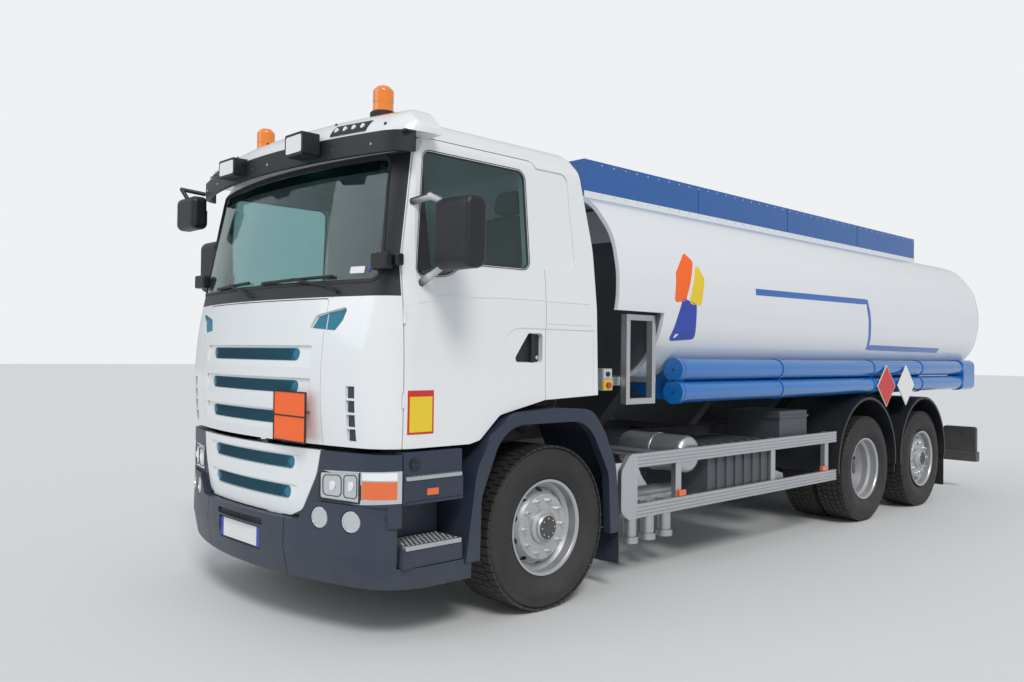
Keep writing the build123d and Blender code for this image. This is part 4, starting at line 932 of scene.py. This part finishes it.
# %% Pressed lines and sticker
cab_side_skin = skin_of("cab_walls", "cab_nose")
door_line = along_side([(1.094, 1.852), (0.80, 1.915), (0.40, 1.930), (0.028, 1.933)])
wall_lines = [along_side([(0.002, z), (-0.400, z)]) for z in (1.930, 1.790)]
for side, _ in sides:
    for label, skin, lines, body in (("door", door_skins[side], [door_line], f"door_{side}"),
                                     ("wall", cab_side_skin, wall_lines, "cab")):
        ribbon(f"{label}_crease_{side}", skin, side, lines, 0.012, "cab_white", body, *pressed_line,
               closed=False)
sticker = along_side(rectangle(0.906, 1.083, 1.146, 1.386))
field = along_side(rectangle(0.918, 1.071, 1.158, 1.352))
plate("sticker_rim", door_skins["left"], "left", [sticker], "sign_red", "door_left", *paint_coat, 0.03)
plate("sticker_field", door_skins["left"], "left", [field], "sign_yellow", "door_left", 0.0035, 0.003, 0.03)
print("creases behind each door:", len(wall_lines))

# %% [markdown]
# The mirrors have a light arm on black feet, and their glass looks back along the truck. The arm is
# part of the housing's mesh, so its faces are found by how far out they lie. A two-part black block
# sits at the foot of each windscreen pillar.

# %% Mirrors and pillar blocks
arm_near, arm_far = 1.232, 1.330
for side, sign in sides:
    repaint(f"mirror_{side}", "pale_grey", lambda c: arm_near < abs(c.y) < arm_far)
    glass_y = span(sign, 1.362, 1.582)
    panes = [rectangle(*glass_y, 2.185, 2.405, 0.03), rectangle(*glass_y, 2.062, 2.165, 0.02)]
    plate(f"mirror_glass_{side}", skin_of(f"mirror_{side}"), "rear", panes, "mirror_glass", f"door_{side}",
          0.0015, 0.002, 0.3)
    blocks(f"pillar_block_{side}", [side_box(sign, 1.122, 1.176, 1.130, 1.214, 2.060, 2.128),
                                    side_box(sign, 1.180, 1.232, 1.045, 1.190, 2.040, 2.132)],
           "black_plastic", "cab", bevel=0.012)
print("mirrors:", len(sides), "with", len(panes), "panes each")

# %% [markdown]
# Both steps have a bright tread plate with raised diamonds that keep a wet boot from slipping, and an
# orange lamp sits under the upper one. The diamonds are four-sided studs, in rows that are shifted by
# half a pitch, and one call of the stud tree grows those of both plates.

# %% Steps
step_ends = (0.716, 1.104)
upper_top, lower_top = 0.924, 0.552
diamond_pitch = 0.030
diamond_margin = 0.022
diamond_rows = [(i + 0.5 * (j % 2), j) for i in range(12) for j in range(7)]
first_x = station(step_ends[0]) + diamond_margin
for side, sign in sides:
    blocks(f"tread_plates_{side}", [side_box(sign, *step_ends, 1.020, 1.243, 0.900, upper_top),
                                    side_box(sign, *step_ends, 1.020, 1.243, 0.524, lower_top)],
           "aluminium", "chassis", bevel=0.005)
    blocks(f"step_lamp_{side}", [side_box(sign, 0.885, 0.965, 1.232, 1.241, 0.812, 0.850)], "indicator",
           "chassis", bevel=0.003)
    blocks(f"step_lip_{side}", [side_box(sign, *step_ends, 1.180, 1.246, 0.772, 0.786)], "slate_plastic",
           "chassis", bevel=0.003)
    diamonds = [(first_x + i * diamond_pitch, sign * (1.035 + j * diamond_pitch), z)
                for i, j in diamond_rows for z in (lower_top, upper_top)]
    studs(f"tread_diamonds_{side}", diamonds, (0, 0, 1), 0.009, 0.006, "chrome", "chassis", sides=4)
    cap = (station(1.040), sign * 1.224, 0.985)
    studs(f"step_cap_{side}", [cap], (0, sign, 0), 0.034, 0.012, "soft_black", "chassis", sides=28)
    blocks(f"step_cap_slot_{side}", [side_box(sign, 1.012, 1.068, 1.228, 1.234, 0.981, 0.989)],
           "slate_plastic", "chassis")
print("diamonds per side:", len(diamonds))

# %% [markdown]
# The tank carries a blue band that runs back from the middle, drops down and runs on to the rear, and
# a patch of coloured leaves near the front. The leaves here are plain shapes of like colour and size.
# Two blank diamond boards hang on the hose tubes. The band is a ribbon and the leaves are plates, so
# both follow the tank's round flank.

# %% Stripes and boards of the tank
tank_skin = skin_of("tank_shell")
band = along_side([(-2.39, 2.122), (-4.44, 2.142), (-4.62, 1.700), (-6.46, 1.690)])
petals = [
    ("band_blue", [(-1.30, 1.70), (-1.62, 1.72), (-1.56, 1.98), (-1.38, 2.02)]),
    ("plate_orange", [(-1.28, 1.98), (-1.42, 2.00), (-1.54, 2.30), (-1.44, 2.36), (-1.30, 2.20)]),
    ("sign_yellow", [(-1.46, 1.98), (-1.62, 1.97), (-1.66, 2.18), (-1.57, 2.30)]),
]
for side, _ in sides:
    ribbon(f"tank_band_{side}", tank_skin, side, [band], 0.052, "stripe_blue", "chassis", *paint_coat,
           closed=False)
for k, (look, petal) in enumerate(petals, start=1):
    outline = rounded([(*p, 0.03) for p in along_side(petal)])
    plate(f"tank_leaf_{k}", tank_skin, "left", [outline], look, "chassis", *paint_coat, 0.08)

diamond_z = 1.315
for k, (place, look) in enumerate(((-4.915, "sign_red"), (-5.394, "plate_white")), start=1):
    x = station(place)
    for label, reach, depth, finish_name in (("rim", 0.212, (1.236, 1.243), "plate_white"),
                                             ("field", 0.200, (1.242, 1.2455), look)):
        corners = [(x - reach, diamond_z), (x, diamond_z - reach),
                   (x + reach, diamond_z), (x, diamond_z + reach)]
        verts = [(a, y, b) for y in depth for a, b in corners]
        faces = [[0, 1, 2, 3], [7, 6, 5, 4]] + [[j, (j + 1) % 4, (j + 1) % 4 + 4, j + 4] for j in range(4)]
        dress(f"board_{label}_{k}", verts, faces, finish_name, "chassis")
print("band corners:", len(band))

# %% [markdown]
# The boards round the walkway are riveted sheets over a white skirt. The skirt covers the joint with
# the tank, and rows of rivets run above it and along the boards' top. The seams between the sheets are
# thin upright blocks, because a line that is only painted on would be lost from the side. A pale grey
# plate on the top of the tank's front end is a painted reflection of the sky on its upward curve.

# %% Walkway skirt, rivets and seams
walk_ends = (-6.825, -0.840)
board_y = 0.752
skirt_half_wall = 0.004
seam_half_width, seam_half_wall = 0.002, 0.0015
rivet_pitch = 0.14
rivet_margin = 0.05
rivet_rows = ((board_y + skirt_half_wall, 2.785), (board_y, 3.010))
walk_rear, walk_front = (station(d) for d in walk_ends)
rivet_count = int((walk_front - walk_rear) / rivet_pitch)
rivet_places = [walk_rear + rivet_margin + k * rivet_pitch for k in range(rivet_count)]
rivets = [(x, sign * y, z) for sign in (-1, 1) for y, z in rivet_rows for x in rivet_places]
skirts = [side_box(sign, *walk_ends, board_y - skirt_half_wall, board_y + skirt_half_wall, 2.690, 2.800)
          for sign in (-1, 1)]
seams = [side_box(sign, d - seam_half_width, d + seam_half_width, board_y - seam_half_wall,
                  board_y + seam_half_wall, 2.81, 3.033) for d in (-2.3, -3.8, -5.3) for sign in (-1, 1)]
bulkhead_sky_reflection = [(-1.17, 2.45), (1.17, 2.45), (1.06, 2.59), (0.75, 2.70), (-0.75, 2.70), (-1.06, 2.59)]
blocks("walkway_skirt", skirts, "tank_white", "chassis")
blocks("walkway_seams", seams, "stripe_blue", "chassis")
studs("walkway_rivets", rivets, (0, 1, 0), 0.006, 0.006, "pale_grey", "chassis", sides=8)
# The pale grey plate on the top of the tank's front end is a painted reflection of the sky on its upward
# curve.
plate("bulkhead_sky_reflection", skin_of("tank_bulkhead"), "front", [bulkhead_sky_reflection], "pale_grey", "chassis", *sheet, 0.5)
print("rivets:", len(rivets))

# %% [markdown]
# A truck tyre has a smooth flank with a few raised rings and a tread of separate blocks. The carcass
# is one profile turned round the axle. It stands for the plain ring of the frame, has the same width
# and seat, and is a little smaller so that the blocks end where the ring did.

# %% Tyre carcass
tyre_radius = axle_z
bead_radius = 0.286
round_steps = 96


def carcass_profile(width):
    """Half profile as (radius, distance from the tyre's middle), mirrored to a closed one."""
    w = width / 2
    half = [(bead_radius, w - 0.042), (bead_radius + 0.042, w - 0.014), (0.350, w - 0.008),
            (0.354, w - 0.004), (0.393, w - 0.001), (0.440, w - 0.002), (0.443, w - 0.006),
            (tyre_radius - 0.040, w - 0.010), (tyre_radius - 0.018, w - 0.026),
            (tyre_radius - 0.012, w - 0.050)]
    return half + [(r, -v) for r, v in reversed(half)]


def carcass(width, middle_y, axle_x):
    """Vertices and faces of one tyre."""
    verts = []
    faces = []
    profile = carcass_profile(width)
    count = len(profile)
    for k in range(round_steps):
        angle = k * math.tau / round_steps
        verts += [(axle_x + r * math.cos(angle), middle_y + v, axle_z + r * math.sin(angle))
                  for r, v in profile]
        here, after = k * count, (k + 1) % round_steps * count
        for j in range(count):
            beside = (j + 1) % count
            faces.append([here + j, here + beside, after + beside, after + j])
    return verts, faces


print("profile points:", len(carcass_profile(0.385)))

# %% [markdown]
# The tread is a row of blocks across the tyre, repeated round the axle. The tree makes the row with a
# mesh line, moves it out to the tread's radius and turns a copy of it for every point of a second
# line whose points all lie on the axle.

# %% A tree for tread blocks


def make_tread_tree():
    """Rows of blocks turned round an axle that runs along Y."""
    tree, given, end = new_tree("tread", Around="Int", Ribs="Int", Rib_Pitch="Float", Block="Vector",
                                Radius="Float", Turn="Float", Axle="Vector")

    def vector_of(**parts):
        return add(tree, "ShaderNodeCombineXYZ", parts).outputs[0]

    gaps = calculate(tree, "SUBTRACT", given["Ribs"], 1)
    half_row = calculate(tree, "MULTIPLY", calculate(tree, "MULTIPLY", gaps, given["Rib Pitch"]), -0.5)
    row = add(tree, "GeometryNodeMeshLine",
              {"Count": given["Ribs"], "Start Location": vector_of(Y=half_row, Z=given["Radius"]),
               "Offset": vector_of(Y=given["Rib Pitch"])})
    cube = add(tree, "GeometryNodeMeshCube", {"Size": given["Block"]})
    row_blocks = add(tree, "GeometryNodeInstanceOnPoints",
                     {"Points": row.outputs["Mesh"], "Instance": cube.outputs["Mesh"]})
    axle_points = add(tree, "GeometryNodeMeshLine", {"Count": given["Around"], "Offset": (0.0, 0.0, 0.0)})
    step = calculate(tree, "DIVIDE", math.tau, given["Around"])
    index = add(tree, "GeometryNodeInputIndex").outputs[0]
    angle = calculate(tree, "MULTIPLY", calculate(tree, "ADD", index, given["Turn"]), step)
    rounds = add(tree, "GeometryNodeInstanceOnPoints",
                 {"Points": axle_points.outputs["Mesh"], "Instance": row_blocks.outputs["Instances"],
                  "Rotation": vector_of(Y=angle)})
    move = add(tree, "GeometryNodeTransform",
               {"Geometry": rounds.outputs["Instances"], "Translation": given["Axle"]})
    close_tree(tree, given, end, move.outputs["Geometry"], False)
    return tree


tread_tree = make_tread_tree()
print("tree:", tread_tree.name)

# %% [markdown]
# The twin tyres of the drive axle sit side by side on one wheel. Outer ribs and inner ribs are set
# half a block apart, so the grooves zigzag.

# %% Tyres with tread
axle_stations = {"front": 0.0, "drive": -4.500, "tag": -5.855}
tyre_rows = {"front": (0.385, (1.055,)), "drive": (0.312, (0.7395, 1.0845)), "tag": (0.345, (1.063,))}
blocks_around = 60
block_depth = 0.014
tread_inset = 0.0015
groove = 0.008
rib_gaps = 4
shoulders = 0.10
block_length = math.tau * tyre_radius / blocks_around - groove
tread_faces = 0
for axle, (width, middles) in tyre_rows.items():
    axle_x = station(axle_stations[axle])
    pitch = (width - shoulders) / rib_gaps
    for side, sign in sides:
        body = f"wheel_{axle}_{side}"
        for k, middle in enumerate(middles, start=1):
            for label, ribs, rib_pitch, turn in (("inner", 3, pitch, 0.0),
                                                 ("outer", 2, rib_gaps * pitch, 0.5)):
                name = f"tread_{label}_{axle}_{side}_{k}"
                values = {"Around": blocks_around, "Ribs": ribs, "Rib Pitch": rib_pitch,
                          "Block": (block_length, pitch - groove, block_depth),
                          "Radius": tyre_radius - tread_inset - block_depth / 2, "Turn": turn,
                          "Axle": (axle_x, sign * middle, axle_z)}
                rings = grown_piece(name, bpy.data.meshes.new(name), tread_tree, values, "tyre_rubber", body)
                tread_faces += len(rings.data.polygons)
        verts, faces = merged(carcass(width, sign * middle, axle_x) for middle in middles)
        tyre = dress(f"tyre_skin_{axle}_{side}", verts, faces, "tyre_rubber", body, smooth=True)
        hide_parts(f"tyre_{axle}_{side}")
print("tread faces:", tread_faces)

# %% [markdown]
# Ten nuts hold each wheel, and a ring of small bolts closes the hub. The hub's middle is dark with
# oil and dust. Nuts are six-sided studs, with the round end of the bolt standing out of each.

# %% Wheel nuts and hubs
nut_circle = 0.1675
hub_bolt_circle = 0.056
hub_middle = 0.074
wheel_faces = {"front": (1.183, 1.231), "drive": (0.925, 1.077), "tag": (1.191, 1.239)}


def ring(radius, count, middle_x, y):
    """Points on a circle round an axle."""
    angles = [k * math.tau / count for k in range(count)]
    return [(middle_x + radius * math.cos(a), y, axle_z + radius * math.sin(a)) for a in angles]


for axle, (face_y, hub_end) in wheel_faces.items():
    axle_x = station(axle_stations[axle])
    for side, sign in sides:
        body = f"wheel_{axle}_{side}"
        for label, circle, count, y, radius, height, look, edges in (
                ("nuts", nut_circle, 10, face_y + 0.011, 0.017, 0.024, "chrome", 6),
                ("bolts", nut_circle, 10, face_y + 0.026, 0.010, 0.022, "wheel_silver", 10),
                ("hub_bolts", hub_bolt_circle, 8, hub_end + 0.002, 0.006, 0.008, "chrome", 6)):
            points = ring(circle, count, axle_x, sign * y)
            studs(f"{label}_{axle}_{side}", points, (0, 1, 0), radius, height, look, body, sides=edges)
        repaint(body, "cast_black", lambda c: math.hypot(c.x - axle_x, c.z - axle_z) < hub_middle)
print("wheels with nuts:", len(wheel_faces) * len(sides))

# %% [markdown]
# The hose tubes end in round caps, each with a black disc of painted shade where its middle hole is.
# Amber marker lamps stand on the side guard, and a pale edging protects the rims of the rear mudguards.

# %% Tubes, markers and edging
# The small black discs on the caps are painted shade in the caps' holes.
tube_ends = [(sign * 1.140, z) for sign in (-1, 1) for z in (1.490, 1.322)]
for name, place, radius, height, look, edges in (("tube_caps", -1.436, 0.089, 0.034, "tube_blue", 48),
                                                 ("tube_cap_hole_shade", -1.4195, 0.009, 0.003, "soft_black", 16)):
    points = [(station(place), *end) for end in tube_ends]
    studs(name, points, (1, 0, 0), radius, height, look, "chassis", sides=edges)
marker_half = 0.042
markers = [side_box(sign, d - marker_half, d + marker_half, 1.208, 1.240, 0.564, 0.608)
           for d in (-1.42, -3.62) for sign in (-1, 1)]
blocks("guard_lamps", markers, "indicator", "chassis", bevel=0.004)
rim_y = 1.2425
rim_lift = 0.060
arc_steps = 40
arc = [math.radians(-4 + 188 * k / arc_steps) for k in range(arc_steps + 1)]
edging = [[(station(axle_stations[axle]) + radius * math.cos(a), sign * rim_y,
            axle_z + rim_lift + radius * math.sin(a)) for a in arc]
          for axle, radius in (("drive", 0.6275), ("tag", 0.5975)) for sign in (-1, 1)]
swept("mudguard_edging", edging, 0.0065, "plate_white", "chassis", sides=6)
print("edging lines:", len(edging))

# %% [markdown]
# Behind the cab hang the switch box, the yellow box with its red stop button and the looped air and
# cable lines that let the cab tilt. Each line hangs as a parabola, which is close to how a slack line
# hangs, and the loops take turns in how deep they dip.

# %% Switches and lines behind the cab
for name, depth, z, look in (("switch_box", 1.160, (1.430, 1.496), "pale_grey"),
                             ("stop_box", 1.166, (1.354, 1.420), "sign_yellow")):
    blocks(name, [side_box(1, -0.690, -0.606, 1.148, depth, *z)], look, "chassis", bevel=0.004)
for name, y, z, radius, height, look, edges in (
        ("stop_button", 1.174, 1.387, 0.022, 0.018, "lens_red", 24),
        ("switch_knob", 1.166, 1.463, 0.016, 0.014, "soft_black", 20)):
    studs(name, [(station(-0.640), y, z)], (0, 1, 0), radius, height, look, "chassis", sides=edges)
line_steps = 16
line_rise = 0.22
air_lines = []
for k in range(4):
    y, dip = -0.30 + 0.20 * k, 0.98 + 0.05 * (k % 2)
    air_lines.append([(station(-0.70 - 0.35 * t / line_steps), y,
                       dip + line_rise * (2 * t / line_steps - 1) ** 2) for t in range(line_steps + 1)])
swept("air_lines", air_lines, 0.011, "soft_black", "chassis", sides=8)
valve_levers = [[(station(d), 1.010, 0.470), (station(d), 1.060, 0.520), (station(d) + 0.05, 1.085, 0.540)]
                for d in (-1.150, -1.360, -1.570)]
swept("valve_levers", valve_levers, 0.008, "chrome", "chassis", sides=8)
print("lines:", len(air_lines))

# %% [markdown]
# The lamp boards at the rear hold three lenses each: stop and tail, indicator, and reflector. They
# are plates laid on the boards' flat rear faces.

# %% Rear lamps
rear_skin = skin_of("rear_bumper")
rear_lenses = (("rear_red", "lens_red", ((0.835, 0.930), (1.050, 1.165))),
               ("rear_orange", "indicator", ((0.940, 1.040),)))
for name, look, places in rear_lenses:
    fields = [rectangle(*span(sign, *place), 0.560, 0.660, 0.01) for sign in (-1, 1) for place in places]
    plate(name, rear_skin, "rear", fields, look, "chassis", *lens, 0.3)
    print(name + ":", len(fields), "lenses")

# %% [markdown]
# Seats are foam under cloth. Each pad is a box whose corners are rounded by a power formula, with
# soft channels across its face, so that it bulges as a stuffed pad does. The pads stand for the plain
# solids, and plain bases carry them.

# %% Seats
pad_steps = 22
pad_power = 5.0
channel_depth = 0.010
channel_sharpness = 8


def pad(size, place, lean, channels):
    """Vertices and faces of one stuffed pad."""
    verts = []
    faces = []
    half = Vector(size) / 2
    turn = Matrix.Rotation(lean, 3, "Y")
    for a, b, c in ((0, 1, 2), (1, 2, 0), (2, 0, 1)):
        for sign in (1, -1):
            first = len(verts)
            for i in range(pad_steps + 1):
                for j in range(pad_steps + 1):
                    point = [0.0, 0.0, 0.0]
                    point[a] = -1 + 2 * i / pad_steps
                    point[b] = -1 + 2 * j / pad_steps
                    point[c] = sign
                    scale = sum(abs(v) ** pad_power for v in point) ** (-1 / pad_power)
                    full = Vector([v * scale * h for v, h in zip(point, half)])
                    wave = abs(math.cos(math.pi * channels * (point[1] + 1) / 2))
                    full *= 1 - channel_depth * wave ** channel_sharpness / max(half)
                    verts.append(tuple(turn @ full + Vector(place)))
            for i in range(pad_steps):
                for j in range(pad_steps):
                    k = first + i * (pad_steps + 1) + j
                    faces.append([k, k + 1, k + pad_steps + 2, k + pad_steps + 1])
    return verts, faces


lean = math.radians(-12)
back_foot = Vector((station(-0.020), 0, 1.830))
back = back_foot + Matrix.Rotation(lean, 3, "Y") @ Vector((0, 0, 0.370))
head = back_foot + Matrix.Rotation(lean, 3, "Y") @ Vector((0, 0, 0.815))
seat_middles = (-0.640, 0.640)
parts = []
for y in seat_middles:
    parts += [pad((0.500, 0.480, 0.128), (station(0.285), y, 1.795), 0.0, 4),
              pad((0.138, 0.465, 0.690), (back.x, y, back.z), lean, 4),
              pad((0.096, 0.255, 0.160), (head.x, y, head.z), lean, 1)]
pads = dress("seat_pads", *merged(parts), "seat_grey", "cab", smooth=True)
weld = bmesh.new()
weld.from_mesh(pads.data)
bmesh.ops.remove_doubles(weld, verts=weld.verts[:], dist=0.0002)
bmesh.ops.recalc_face_normals(weld, faces=weld.faces[:])
weld.to_mesh(pads.data)
weld.free()
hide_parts("seats")
bases = [(station(0.110), station(0.470), y - 0.160, y + 0.160, 1.400, 1.738) for y in seat_middles]
blocks("seat_bases", bases, "trim_grey", "cab", bevel=0.01)
print("pad faces:", len(pads.data.polygons))

# %% [markdown]
# The floor is one wide pale sheet, and no body carries it.

# %% Floor
floor_reach = 90.0
floor_corners = [(a * floor_reach, b * floor_reach, 0) for a, b in ((-1, -1), (1, -1), (1, 1), (-1, 1))]
floor_mesh = bpy.data.meshes.new("floor")
floor_mesh.from_pydata(floor_corners, [], [(0, 1, 2, 3)])
floor = bpy.data.objects.new("floor", floor_mesh)
bpy.context.collection.objects.link(floor)
floor_mesh.materials.append(finish("studio_floor", (0.72, 0.73, 0.74), 0.7, dust=0.0, everywhere=0.0))
print("floor:", 2 * floor_reach, "m across")
